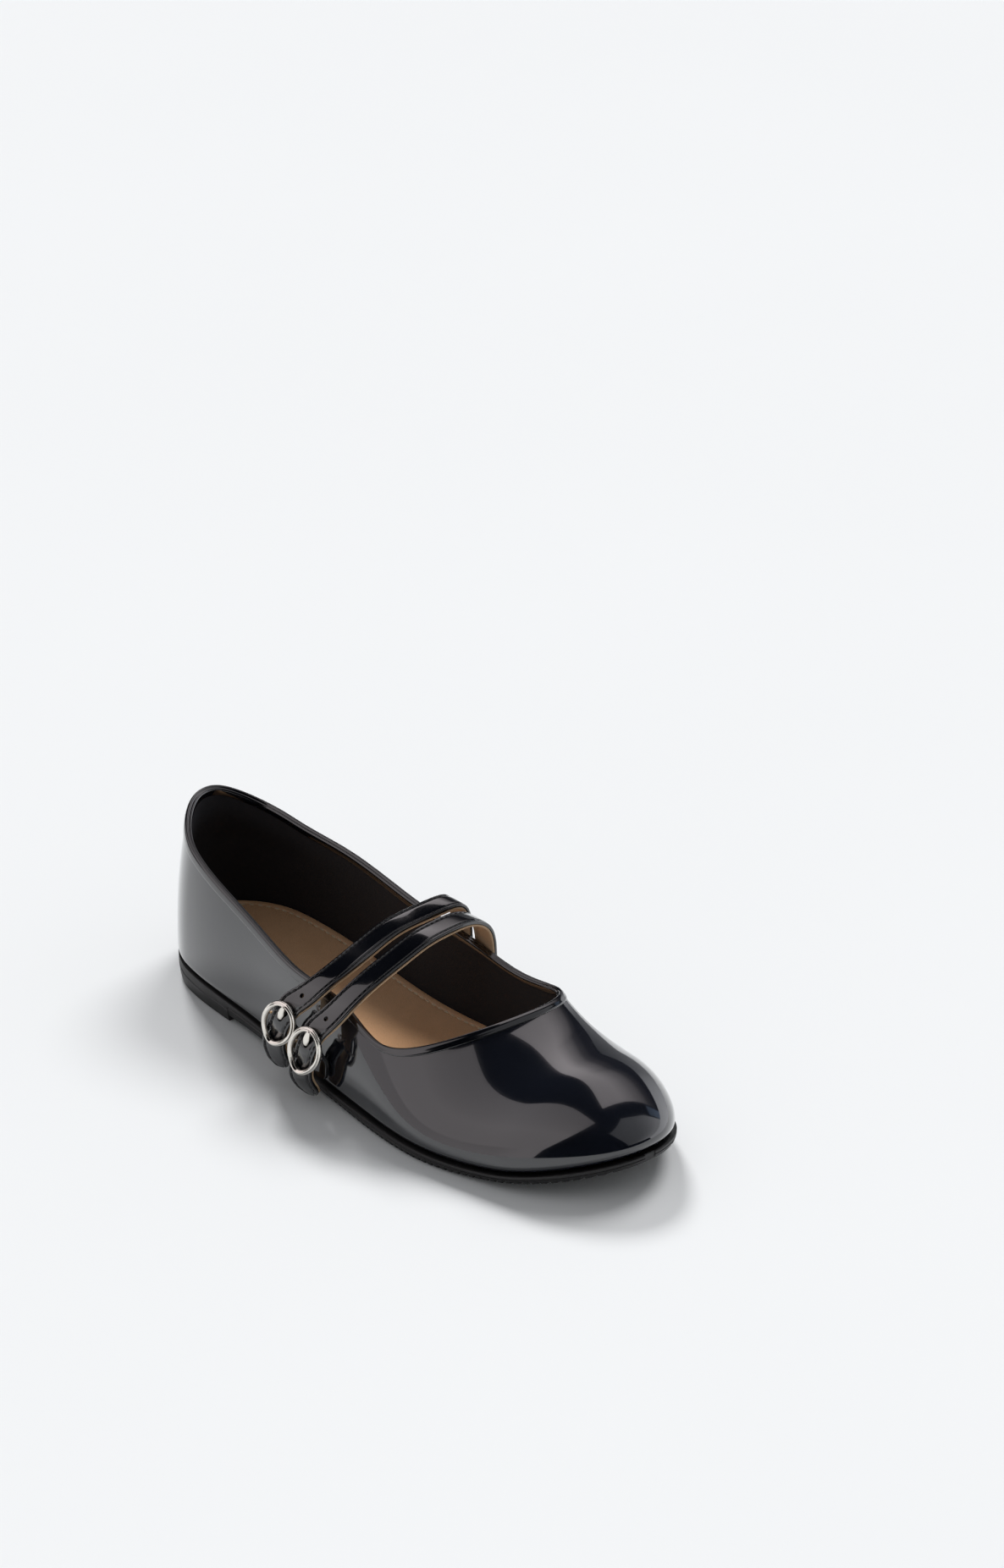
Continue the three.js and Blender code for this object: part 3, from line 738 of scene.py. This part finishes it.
def underside(u):
    breast = HEEL_LIFT / LENGTH
    waist = np.clip((u - breast) / (FLAT_FROM - breast), 0, 1)
    toe = np.clip((u - FLAT_TO) / (1 - FLAT_TO), 0, 1)
    rise = np.where((u > breast) & (u < FLAT_FROM), WAIST_RISE * np.cos(math.pi / 2 * waist) ** 0.8, 0)
    return rise + TOE_SPRING * toe**2.2


def ribs(u):
    phase = np.mod(u * LENGTH / RIB_PITCH, 1)
    trench = np.clip(np.minimum(phase - 0.55, 0.97 - phase) / 0.06, 0, 1)
    return RIB_DEPTH * trench * ((u > RIBS_FROM) & (u < RIBS_TO))


def outsole_rings():
    breast = HEEL_LIFT / LENGTH
    fine = np.arange(RIBS_FROM, RIBS_TO, 0.25 / LENGTH)
    heel = (1 - np.cos(np.linspace(0.04, 1.0, 40))) / 2
    ahead = np.arange(breast + 0.0012, RIBS_FROM, 0.008)
    waist = np.concatenate([np.arange(heel[-1], breast, 0.01), [breast], ahead])
    toe = 1 - (1 - RIBS_TO) * np.linspace(1, 0.2, 8) ** 2
    u = np.unique(np.concatenate([heel, waist, fine, toe]))
    top, floor = feather(u) - SOLE_DROP, underside(u) + ribs(u)
    bed = underside(u)
    lip = SOLE_HEEL_LIP + (SOLE_LIP - SOLE_HEEL_LIP) * np.clip((u - 0.2) / 0.25, 0, 1)
    depth = top - bed
    edge = [
        (lip - 0.9, top + 0.05),
        (lip - 0.35, top),
        (lip - 0.08, top - 0.12),
        (lip, top - 0.4),
        (lip - 0.04, top - 0.30 * depth),
        (lip - 0.30, top - 0.34 * depth),
        (lip - 0.30, top - 0.39 * depth),
        (lip - 0.06, top - 0.43 * depth),
        (lip - 0.45 * SOLE_TAPER, np.maximum(floor + 0.5, top - 0.8 * depth)),
        (lip - 0.8 * SOLE_TAPER, floor + 0.22),
        (lip - 1.15 * SOLE_TAPER, floor),
    ]
    rows = []
    for grow, z in edge:
        lateral, medial = slice_ends(u, grow)
        lateral[:, 2] = medial[:, 2] = z
        rows.append((lateral, medial))
    share = np.linspace(0, 1, 9)[1:-1, None, None]
    across_floor = list(rows[-1][0] + (rows[-1][1] - rows[-1][0]) * share)
    across_top = list(rows[0][1] + (rows[0][0] - rows[0][1]) * share)
    ring = [row[0] for row in rows] + across_floor + [row[1] for row in rows[::-1]] + across_top
    return np.stack(ring, 1)


sole_mesh = loft(outsole_rings())
add_piece("outsole_rubber", sole_mesh, rubber_finish, stands_for="outsole", sharp_degrees=30)

# %% [markdown]
# ## The straps
#
# Two slim straps are sewn to the inner side, arch over the instep and come down through their buckles on the
# outer side. A strap is two layers: patent with turned edges and a stitch line sunk on each side, over a tan
# suede backing that shows as a pale line at the edge. The centre line is a smooth curve through a few points,
# and a little frame of three directions travels along it and carries the section.

# %% Strap lines
STRAP_WIDTH, STRAP_THICK = 10.2, 2.4
STRAP_SQUEEZE, SQUEEZE_LENGTH = 0.16, 8.0
STRAP_BULGE, BULGE_LENGTH = 1.6, 4.2
TAIL_TAPER = 4.0
STRAP_TURN, TURN_LENGTH = math.radians(14), 24.0
PRONG_REACH, SPARE_HOLE = 2.6, 14.5
HOLE_RADIUS = 0.95
GAP = 0.3

# off: distance from the outside of the upper, for the sewn end. Otherwise x.
REAR_SEWN = [(1.9, 4.5, 20.0), (1.9, 4.5, 31.0), (2.0, 4.5, 41.0)]
REAR_FREE = [
    (23.1, 4.7, 55.7), (16.3, 5.8, 55.8), (8.1, 7.6, 54.3), (-2.3, 8.9, 52.5),
    (-15.4, 7.9, 49.6), (-29.7, 5.8, 46.8), (-40.4, 6.6, 42.5), (-44.7, 9.5, 38.5),
    (-47.6, 12.9, 34.8), (-48.9, 16.1, 27.5), (-49.7, 19.9, 16.9), (-46.1, 19.4, 6.6),
]
FRONT_SEWN = [(2.3, -6.7, 19.0), (2.4, -6.7, 29.0), (2.5, -6.7, 38.0)]
FRONT_FREE = [
    (27.1, -6.7, 49.5), (18.9, -7.0, 54.8), (9.6, -7.2, 55.4), (-1.6, -7.3, 54.4),
    (-14.3, -7.8, 51.2), (-28.4, -8.4, 47.0), (-39.7, -7.8, 41.1), (-45.6, -5.3, 35.5),
    (-49.1, -2.3, 30.6), (-50.5, -0.6, 23.7), (-51.7, 2.5, 12.1), (-46.7, 1.3, 3.0),
]
BUCKLE_ROW = 9


def beside(side, y, z, off):
    u = 0.5 - y / LENGTH
    u -= lean(u, z) / LENGTH
    sine = np.clip((z - feather(u)) / height(u), 0, 1)
    return np.array([last_point(u, side, np.sqrt(1 - sine**2))[0] + side * off, y, z])


class Line:
    """A smooth centre line with a travelling frame; buckle_at is where the strap crosses the bar."""

    def __init__(self, points, buckle_row=None):
        points = np.array(points, float)
        lengths = np.concatenate([[0], np.cumsum(np.linalg.norm(np.diff(points, axis=0), axis=1))])
        self.at = natural_spline(lengths, points)
        self.total = lengths[-1]
        self.buckle_at = 2 * self.total if buckle_row is None else lengths[buckle_row]

    def frame(self, l):
        l = np.asarray(l, float)
        tangent = unit(self.at(l + 0.4) - self.at(l - 0.4))
        share = np.clip((l - self.buckle_at) / TURN_LENGTH + 1, 0, 1)
        turn = STRAP_TURN * share * share * (3 - 2 * share)
        width = np.stack([-np.sin(turn), np.cos(turn), 0 * turn], -1)
        width = unit(width - tangent * np.sum(width * tangent, -1, keepdims=True))
        return self.at(l), tangent, width, unit(np.cross(width, tangent))


def strap_line(sewn_rows, free_rows):
    points = [beside(1, y, z, off) for off, y, z in sewn_rows] + list(free_rows)
    return Line(points, len(sewn_rows) + BUCKLE_ROW)


lines = {"rear": strap_line(REAR_SEWN, REAR_FREE), "front": strap_line(FRONT_SEWN, FRONT_FREE)}
print("strap lengths, mm:", {name: round(line.total, 1) for name, line in lines.items()})

# %% Strap layers
STRAP_RINGS = 300
TOP = STRAP_THICK / 2
BACKING_TOP = TOP - 1.5
STITCH_LINE = 1.3


def hump(line, l):
    return STRAP_BULGE * np.exp(-(((l - line.buckle_at) / BULGE_LENGTH) ** 2))


def strap_half_width(line, l):
    """Half width: narrowed a little inside the buckle and rounded at the free end."""
    tail = 0.45 + 0.55 * np.sqrt(np.clip((line.total - l) / TAIL_TAPER, 0, 1))
    waist = 1 - STRAP_SQUEEZE * np.exp(-(((l - line.buckle_at) / SQUEEZE_LENGTH) ** 2))
    return STRAP_WIDTH / 2 * tail * waist


def dome(line, l):
    """The patent is pushed up in the middle of the buckle."""
    return 0.12 + 0.45 * np.exp(-(((l - line.buckle_at + 1) / 3.6) ** 2))


def carried(line, l, across, out):
    at, _, width, face = (v[:, None] for v in line.frame(l))
    return at + width * across[..., None] + face * (out + hump(line, l)[:, None])[..., None]


def patent_layer(line):
    l = np.linspace(0, line.total, STRAP_RINGS)
    half, crown_up = strap_half_width(line, l), dome(line, l)
    edge = [  # distance in from the edge, drop below the top
        (0.25, 1.5), (0.02, 1.2), (0.0, 0.7), (0.1, 0.34), (0.35, 0.09), (0.62, 0.02), (0.85, 0.09),
        (1.0, 0.36), (STITCH_LINE, 0.5), (1.6, 0.36), (1.85, 0.1), (2.25, 0.0),
    ]
    right_side = [(half - inset, np.full_like(l, TOP - drop)) for inset, drop in edge]
    crowned = []
    for share in (0.5, 0.3, 0.0, -0.3, -0.5):
        crowned.append((half * share, TOP + crown_up * (1 - (share / 0.6) ** 2)))
    left_side = [(-a, h) for a, h in right_side[::-1]]
    ring = right_side + crowned + left_side
    across = np.stack([a for a, _ in ring], 1)
    out = np.stack([h for _, h in ring], 1)
    return loft(carried(line, l, across, out))


def backing_layer(line):
    l = np.linspace(0, line.total, STRAP_RINGS)
    half = strap_half_width(line, l)
    low, high = -STRAP_THICK / 2, BACKING_TOP - 0.02
    ring = [(0.3, low), (0.05, low + 0.15), (-0.08, low + 0.35), (-0.05, high - 0.1), (0.15, high)]
    right_side = [(half - inset, np.full_like(l, h)) for inset, h in ring]
    middle = [(0 * l, np.full_like(l, high))]
    ring = right_side + middle + [(-a, h) for a, h in right_side[::-1]] + [(0 * l, np.full_like(l, low))]
    return loft(carried(line, l, np.stack([a for a, _ in ring], 1), np.stack([h for _, h in ring], 1)))


def punch(piece, line, positions):
    """Cut round holes through a finished piece."""
    for number, l in enumerate(positions):
        at, tangent, width, face = (v[0] for v in line.frame(np.array([l])))
        angles = 2 * math.pi * np.arange(28) / 28
        ring = HOLE_RADIUS * (np.cos(angles)[:, None] * width + np.sin(angles)[:, None] * tangent)
        points, faces = loft(np.stack([at + ring - 4 * face, at + ring + 6 * face]))
        mesh = bpy.data.meshes.new("punch")
        mesh.from_pydata(to_frame(points).tolist(), [], faces)
        tool = bpy.data.objects.new("punch", mesh)
        bpy.context.scene.collection.objects.link(tool)
        cut = piece.modifiers.new(f"hole_{number}", "BOOLEAN")
        cut.operation, cut.object, cut.solver = "DIFFERENCE", tool, "EXACT"
        bpy.context.view_layer.objects.active = piece
        bpy.ops.object.modifier_apply(modifier=cut.name)
        bpy.data.objects.remove(tool)


def strap_stitches(line):
    bodies = []
    l = np.linspace(2.0, line.total - 1.5, 500)
    for side in (-1, 1):
        across = side * (strap_half_width(line, l) - STITCH_LINE)
        at = carried(line, l, across[:, None], np.full((len(l), 1), TOP - 0.3))[:, 0]
        bodies.append(stitch_row(at, line.frame(l)[3], pitch=2.35, length=1.8, radius=0.34))
    for l_cross in (2.0, 9.0):
        across = np.linspace(-3.2, 3.2, 30)[None, :]
        at = carried(line, np.array([l_cross]), across, np.full_like(across, TOP + 0.02))[0]
        face = np.repeat(line.frame(np.array([l_cross]))[3], 30, 0)
        bodies.append(stitch_row(at, face, pitch=2.1, length=1.6, radius=0.3))
    return join(bodies)


for name, line in lines.items():
    holes = [line.buckle_at - PRONG_REACH, line.buckle_at - SPARE_HOLE]
    top = add_piece(f"strap_{name}_patent", patent_layer(line), strap_finish, f"strap_{name}")
    under = add_piece(f"strap_{name}_backing", backing_layer(line), backing_finish)
    punch(top, line, holes)
    punch(under, line, holes)
    add_piece(f"strap_{name}_stitches", strap_stitches(line), black_thread)

# %% [markdown]
# ## The buckles
#
# Each buckle is a small cast frame, round at the top and narrower at the bottom, with a bar across its
# middle and a flat prong that goes through a hole of the strap and rests on the top of the frame. A cast
# frame isn't round wire: its front is two slopes that meet in a crest, with a small step outside. The
# section is drawn once and carried round the outline.

# %% Buckle frames, bars and prongs
BUCKLE_HALF_WIDTH, BUCKLE_HALF_HEIGHT, BUCKLE_POINT = 6.2, 9.1, 0.24
RIM = 1.05
RIM_LIFT = STRAP_THICK / 2 + RIM + 0.55
BAR_RADIUS = 0.65
BAR_LIFT = STRAP_BULGE - STRAP_THICK / 2 - GAP - BAR_RADIUS - 0.15
# away from the middle of the window, height
RIM_SECTION = np.array([
    (-0.95, -0.55), (-1.02, -0.1), (-0.92, 0.32), (-0.35, 0.88), (0.02, 1.02), (0.34, 0.84), (0.52, 0.48),
    (0.80, 0.40), (1.04, 0.12), (1.06, -0.5), (0.85, -0.92), (-0.7, -0.92),
])


def buckle_frame(line):
    return [v[0] for v in line.frame(np.array([line.buckle_at]))]


def placed(line, points):
    """Points given as across, along and out of the strap where it crosses the bar."""
    at, tangent, width, face = buckle_frame(line)
    points = np.asarray(points, float)
    return at + points[..., :1] * width + points[..., 1:2] * tangent + points[..., 2:3] * face


def rim_body(line):
    a = 2 * math.pi * np.arange(120) / 120
    along = -np.cos(a)
    narrow = 1 - BUCKLE_POINT * np.clip(along, 0, None) ** 2
    loop = np.stack([BUCKLE_HALF_WIDTH * np.sin(a) * narrow, BUCKLE_HALF_HEIGHT * along], -1)
    ahead = np.roll(loop, -1, 0) - np.roll(loop, 1, 0)
    away = unit(np.stack([-ahead[:, 1], ahead[:, 0]], -1))
    away *= np.sign(np.sum(away * loop, -1, keepdims=True))
    profile = closed_curve(RIM_SECTION, 40)
    flat = loop[:, None] + away[:, None] * profile[None, :, :1]
    out = np.broadcast_to(RIM_LIFT + profile[None, :, 1:], (*flat.shape[:2], 1))
    return loft(placed(line, np.concatenate([flat, out], -1)), rings_close=True)


def rod(points, radii, flatten=1.0, sides=18, samples=60):
    """A rod through points in the buckle's own directions; flatten squeezes its thickness."""
    points = np.array(points, float)
    lengths = np.concatenate([[0], np.cumsum(np.linalg.norm(np.diff(points, axis=0), axis=1))])
    where = lengths[-1] * (1 - np.cos(np.linspace(0, math.pi, samples))) / 2
    line_at = natural_spline(lengths, points)(where)
    radius = np.interp(where, lengths, radii)
    rounded = np.sqrt(np.clip(np.minimum(where, lengths[-1] - where) / 0.5, 0.02, 1))
    tangent = unit(np.gradient(line_at, axis=0))
    sideways = np.array([1.0, 0, 0]) if abs(tangent[samples // 2, 0]) < 0.7 else np.array([0, 1.0, 0])
    first = unit(sideways - tangent * (tangent @ sideways)[:, None])
    second = np.cross(tangent, first)
    angles = 2 * math.pi * np.arange(sides) / sides
    thick = np.minimum(radius, PRONG_THICK) if flatten < 1 else radius
    return (
        line_at[:, None]
        + first[:, None] * (radius * rounded)[:, None, None] * np.cos(angles)[:, None]
        + second[:, None] * (thick * rounded)[:, None, None] * np.sin(angles)[:, None]
    )


PRONG_THICK = 0.5


def bar_body(line):
    w = BUCKLE_HALF_WIDTH
    points = [(-w, 0, RIM_LIFT), (-w + 0.15, 0, BAR_LIFT + 1.0), (-w + 1.2, 0, BAR_LIFT), (0, 0, BAR_LIFT),
              (w - 1.2, 0, BAR_LIFT), (w - 0.15, 0, BAR_LIFT + 1.0), (w, 0, RIM_LIFT)]
    return loft(placed(line, rod(points, [BAR_RADIUS] * len(points))))


def prong_body(line):
    front = STRAP_BULGE + STRAP_THICK / 2 + 0.75
    top = RIM_LIFT + RIM
    points = [(0, 0.9, BAR_LIFT), (0, -0.8, BAR_LIFT - 0.2), (0, -PRONG_REACH, STRAP_BULGE * 0.5),
              (0, -PRONG_REACH - 0.7, front - 0.2), (0, -5.6, front + 0.35), (0, -8.0, top + 0.15),
              (0, -BUCKLE_HALF_HEIGHT - 0.5, top - 0.02)]
    widths = [0.6, 0.6, 0.7, 0.85, 1.35, 1.0, 0.45]
    return loft(placed(line, rod(points, widths, flatten=0.5)))


for name, line in lines.items():
    add_piece(f"buckle_{name}_frame", rim_body(line), nickel_finish, f"buckle_{name}")
    add_piece(f"buckle_{name}_bar", bar_body(line), nickel_finish)
    add_piece(f"buckle_{name}_prong", prong_body(line), nickel_finish)

# %% [markdown]
# ## The tabs behind the buckles
#
# A short patent tab is sewn to the outer side below each buckle and reaches up to its bar. It is mostly
# hidden by the strap's free end, so a rounded ribbon with two rows of stitches is enough.

# %% Tabs
TAB_WIDTH, TAB_THICK, TAB_LENGTH = 6.4, 1.8, 14.0
TAB_RINGS = 70


def tab_line(line):
    at, _, _, face = buckle_frame(line)
    bar = at + face * BAR_LIFT
    off = TAB_THICK / 2 + GAP + 0.5
    end = bar - face * (BAR_RADIUS + GAP + TAB_THICK / 2)
    y, z = bar[1], bar[2]
    sewn_on = {share: beside(-1, y, z - TAB_LENGTH * share, off) for share in (1, 0.75, 0.5, 0.3)}
    bridge = (sewn_on[0.3] + end) / 2
    bridge[2] = z - 0.3 * TAB_LENGTH
    return Line([sewn_on[1], sewn_on[0.75], sewn_on[0.5] + [-0.4, 0, 0], bridge,
                 (end[0] + 0.8, y, z - 1.4), (end[0] + 1.1, y, z + 0.8)])


def tab_body(tab):
    l = np.linspace(0, tab.total, TAB_RINGS)
    ends = np.sqrt(np.clip(np.minimum(l, tab.total - l) / 2.0, 0, 1))
    half = TAB_WIDTH / 2 * (0.6 + 0.4 * ends)
    edge = [
        (0.3, -0.9), (0.06, -0.7), (0.0, 0.0), (0.06, 0.55),
        (0.3, 0.82), (0.7, 0.88), (1.1, 0.72), (1.5, 0.88),
    ]
    right_side = [(half - inset, np.full_like(l, h)) for inset, h in edge]
    ring = right_side + [(0 * l, np.full_like(l, 0.95))] + [(-a, h) for a, h in right_side[::-1]]
    across = np.stack([a for a, _ in ring], 1)
    out = np.stack([h for _, h in ring], 1)
    at, _, width, face = (v[:, None] for v in tab.frame(l))
    return loft(at + width * across[..., None] + face * out[..., None])


def tab_stitches(tab):
    bodies = []
    l = np.linspace(0.8, tab.total * 0.5, 80)
    at, _, width, face = tab.frame(l)
    for side in (-1, 1):
        row = at + width * side * (TAB_WIDTH / 2 - 1.1) + face * 0.8
        bodies.append(stitch_row(row, face, pitch=2.35, length=1.75, radius=0.25))
    return join(bodies)


for name, line in lines.items():
    tab = tab_line(line)
    add_piece(f"tab_{name}_patent", tab_body(tab), strap_finish, f"tab_{name}")
    add_piece(f"tab_{name}_stitches", tab_stitches(tab), black_thread)

# %% [markdown]
# ## Floor and light
#
# Black patent has hardly any colour of its own: what one sees is the room in it. The floor is a pale plain
# sheet, and its mirror image fills the flanks of the shoe. A soft sky and two broad suns light the floor and
# the insole and draw the shadows, without showing in the lacquer. Soft boxes, placed where the vamp and the
# toe look, draw the bright shapes.

# %% Floor
FLOOR_SIZE = 14.0


def pale_floor():
    f = Finish("pale_floor")
    cloud = f.noise(3, 2)
    colour = f.mix(cloud, (0.84, 0.85, 0.86), (0.86, 0.87, 0.88))
    return f.surface(Base_Color=colour, Roughness=0.9)


floor_mesh = bpy.data.meshes.new("floor")
h = FLOOR_SIZE / 2
floor_mesh.from_pydata([(-h, -h, 0), (h, -h, 0), (h, h, 0), (-h, h, 0)], [], [(0, 1, 2, 3)])
floor_mesh.materials.append(pale_floor())
floor = bpy.data.objects.new("floor", floor_mesh)
bpy.context.scene.collection.objects.link(floor)

# %% Sky
SKY_STRENGTH = 0.33

world = bpy.data.worlds.new("soft_sky")
bpy.context.scene.world = world
world.use_nodes = True
world.node_tree.nodes["Background"].inputs["Color"].default_value = (0.97, 0.985, 1.0, 1)
world.node_tree.nodes["Background"].inputs["Strength"].default_value = SKY_STRENGTH
world.cycles_visibility.glossy = False


# %% Suns
def sun(name, towards, strength, spread_degrees):
    """Parallel light; towards points from the shoe to the light."""
    data = bpy.data.lights.new(name, "SUN")
    data.energy = strength
    data.angle = math.radians(spread_degrees)
    lamp = bpy.data.objects.new(name, data)
    away = unit(np.array(towards, float))
    sideways = unit(np.cross([0, 0, 1], away))
    turn = np.eye(4)
    turn[:3, :3] = np.stack([sideways, np.cross(away, sideways), away], 1)
    lamp.matrix_world = Matrix(turn.tolist())
    lamp.visible_glossy = False
    bpy.context.scene.collection.objects.link(lamp)


sun("sun_side", (0.9, 0.3, 1.0), strength=1.5, spread_degrees=26)
sun("sun_back", (0.55, 1.1, 0.95), strength=2.1, spread_degrees=14)

# %% [markdown]
# ## Soft boxes
#
# What the lacquer mirrors is mostly set out on a high ceiling above the shoe, with a wall on each side. A
# soft box is a flat glowing sheet. Its corners on the ceiling are given as the slope of the line of sight
# from the shoe: how far across and how far back for each unit of height. The sheets glow only in
# reflections. A sheet can fade along a line, the way a soft box does towards its edge.


# %% Glowing sheets
def glow(name, colour, direction=(1.0, 0.0, 0.0), levels=((0.0, 1.0),)):
    """Emission whose strength follows levels: (distance along the direction, strength) pairs."""
    f = Finish(name)
    along = f.node("VectorMath", {"operation": "DOT_PRODUCT"}, {0: f.place(), 1: direction}, output=1)
    amount = f.node("Value")
    amount.socket.default_value = levels[0][1]
    for (start, low), (end, high) in zip(levels, levels[1:]):
        step = f.node("MapRange", {}, {"Value": along, "From Min": start, "From Max": end, "To Min": 0.0,
                                       "To Max": high - low})
        amount = amount + step
    shader = f.node("Emission", {}, {"Color": (*colour, 1), "Strength": amount})
    out = f.tree.nodes.new("ShaderNodeOutputMaterial")
    f.tree.links.new(shader.socket, out.inputs["Surface"])
    return f.material


def sheet_of_light(name, corners, finish):
    mesh = bpy.data.meshes.new(name)
    mesh.from_pydata([tuple(c) for c in corners], [], [tuple(range(len(corners)))])
    mesh.materials.append(finish)
    sheet = bpy.data.objects.new(name, mesh)
    bpy.context.scene.collection.objects.link(sheet)
    sheet.visible_camera = sheet.visible_diffuse = sheet.visible_shadow = False
    sheet.visible_transmission = False


def on_ceiling(slopes):
    """Corners on the ceiling seen from the middle of the vamp."""
    return [(across * CEILING, back_by * CEILING + VAMP_Y, CEILING) for across, back_by in slopes]


def at_slopes(*levels):
    """Levels given by slope, as distances on the ceiling."""
    return [(slope * CEILING, strength) for slope, strength in levels]


VAMP_Y = -0.075
CEILING = 5.0
WARM, COOL, BLUE = (1.0, 0.93, 0.95), (0.95, 0.96, 1.0), (0.55, 0.72, 1.0)
ACROSS, BACK = (1.0, 0.0, 0.0), (0.0, 1.0, 0.0)

# The roof: over the outer side, from the ceiling down a long wall to the floor.
roof = on_ceiling([(0.02, -0.13), (0.02, 3.2), (-2.4, 3.2), (-2.4, -0.55)])
roof_levels = at_slopes((-0.6, 1.0), (-0.1, 0.72), (0.02, 0.68))
sheet_of_light("glow_roof", roof, glow("glow_roof", WARM, ACROSS, roof_levels))
wall = [roof[3], roof[2], (roof[2][0], roof[2][1], 0.0), (roof[3][0], roof[3][1], 0.0)]
sheet_of_light("glow_wall", wall, glow("glow_wall", WARM, BACK, [(0.0, 1.02), (5.0, 0.80), (16.0, 0.62)]))


# The strip: a long soft box beside the shoe, with a crisp edge on the left. On the right it spills into the
# room, widely near the toe and narrowly further back.
def strip_glow():
    f = Finish("glow_strip")
    place = f.place()
    square_to_edge = (1.0, -STRIP_SLANT, 0.0)
    edge = f.node("VectorMath", {"operation": "DOT_PRODUCT"}, {0: place, 1: square_to_edge}, output=1)
    depth = f.node("VectorMath", {"operation": "DOT_PRODUCT"}, {0: place, 1: BACK}, output=1)
    spill = f.node("MapRange", {}, {"Value": depth, "From Min": 0.0, "From Max": 0.9 * CEILING,
                                    "To Min": 0.75 * CEILING, "To Max": 0.34 * CEILING})
    share = (edge - STRIP_EDGE * CEILING) / spill
    glowing = f.ramp(share * 0.4, (0.0, 1.0), (0.2, 1.0), (0.4, 0.5), (0.68, 0.1), (1.0, 0.02))
    shader = f.node("Emission", {}, {"Color": (*WARM, 1), "Strength": glowing * 1.2})
    out = f.tree.nodes.new("ShaderNodeOutputMaterial")
    f.tree.links.new(shader.socket, out.inputs["Surface"])
    return f.material


STRIP_EDGE, STRIP_SLANT = 0.28, 0.31
strip = on_ceiling([(0.28, 0.0), (2.2, 0.0), (2.2, 2.2), (0.96, 2.2)])
sheet_of_light("glow_strip", strip, strip_glow())

# The window in front, brighter towards the inner side, the bluish strip behind it and the wall at the side.
front = on_ceiling([(0.0, -0.36), (0.4, -0.16), (1.0, -0.15), (2.4, -0.3), (2.4, -3.0), (0.0, -3.0)])
window = at_slopes((0.0, 0.32), (0.6, 0.42), (1.6, 0.9))
sheet_of_light("glow_front", front, glow("glow_front", COOL, ACROSS, window))
blue_wall = on_ceiling([(1.25, -0.14), (2.4, -0.28), (2.4, -0.02), (1.25, -0.02)])
sheet_of_light("glow_blue", blue_wall, glow("glow_blue", BLUE, ACROSS, at_slopes((1.25, 0.3), (1.8, 0.5))))
SIDE_X, SIDE_FRONT, SIDE_BACK = 12.0, -15.0, 16.0
side = [(SIDE_X, SIDE_FRONT, 0.0), (SIDE_X, SIDE_BACK, 0.0)]
side += [(SIDE_X, SIDE_BACK, CEILING), (SIDE_X, SIDE_FRONT, CEILING)]
side_levels = [(-2.0, 1.4), (1.0, 1.1), (5.0, 0.32), (12.0, 0.1)]
sheet_of_light("glow_side", side, glow("glow_side", COOL, BACK, side_levels))
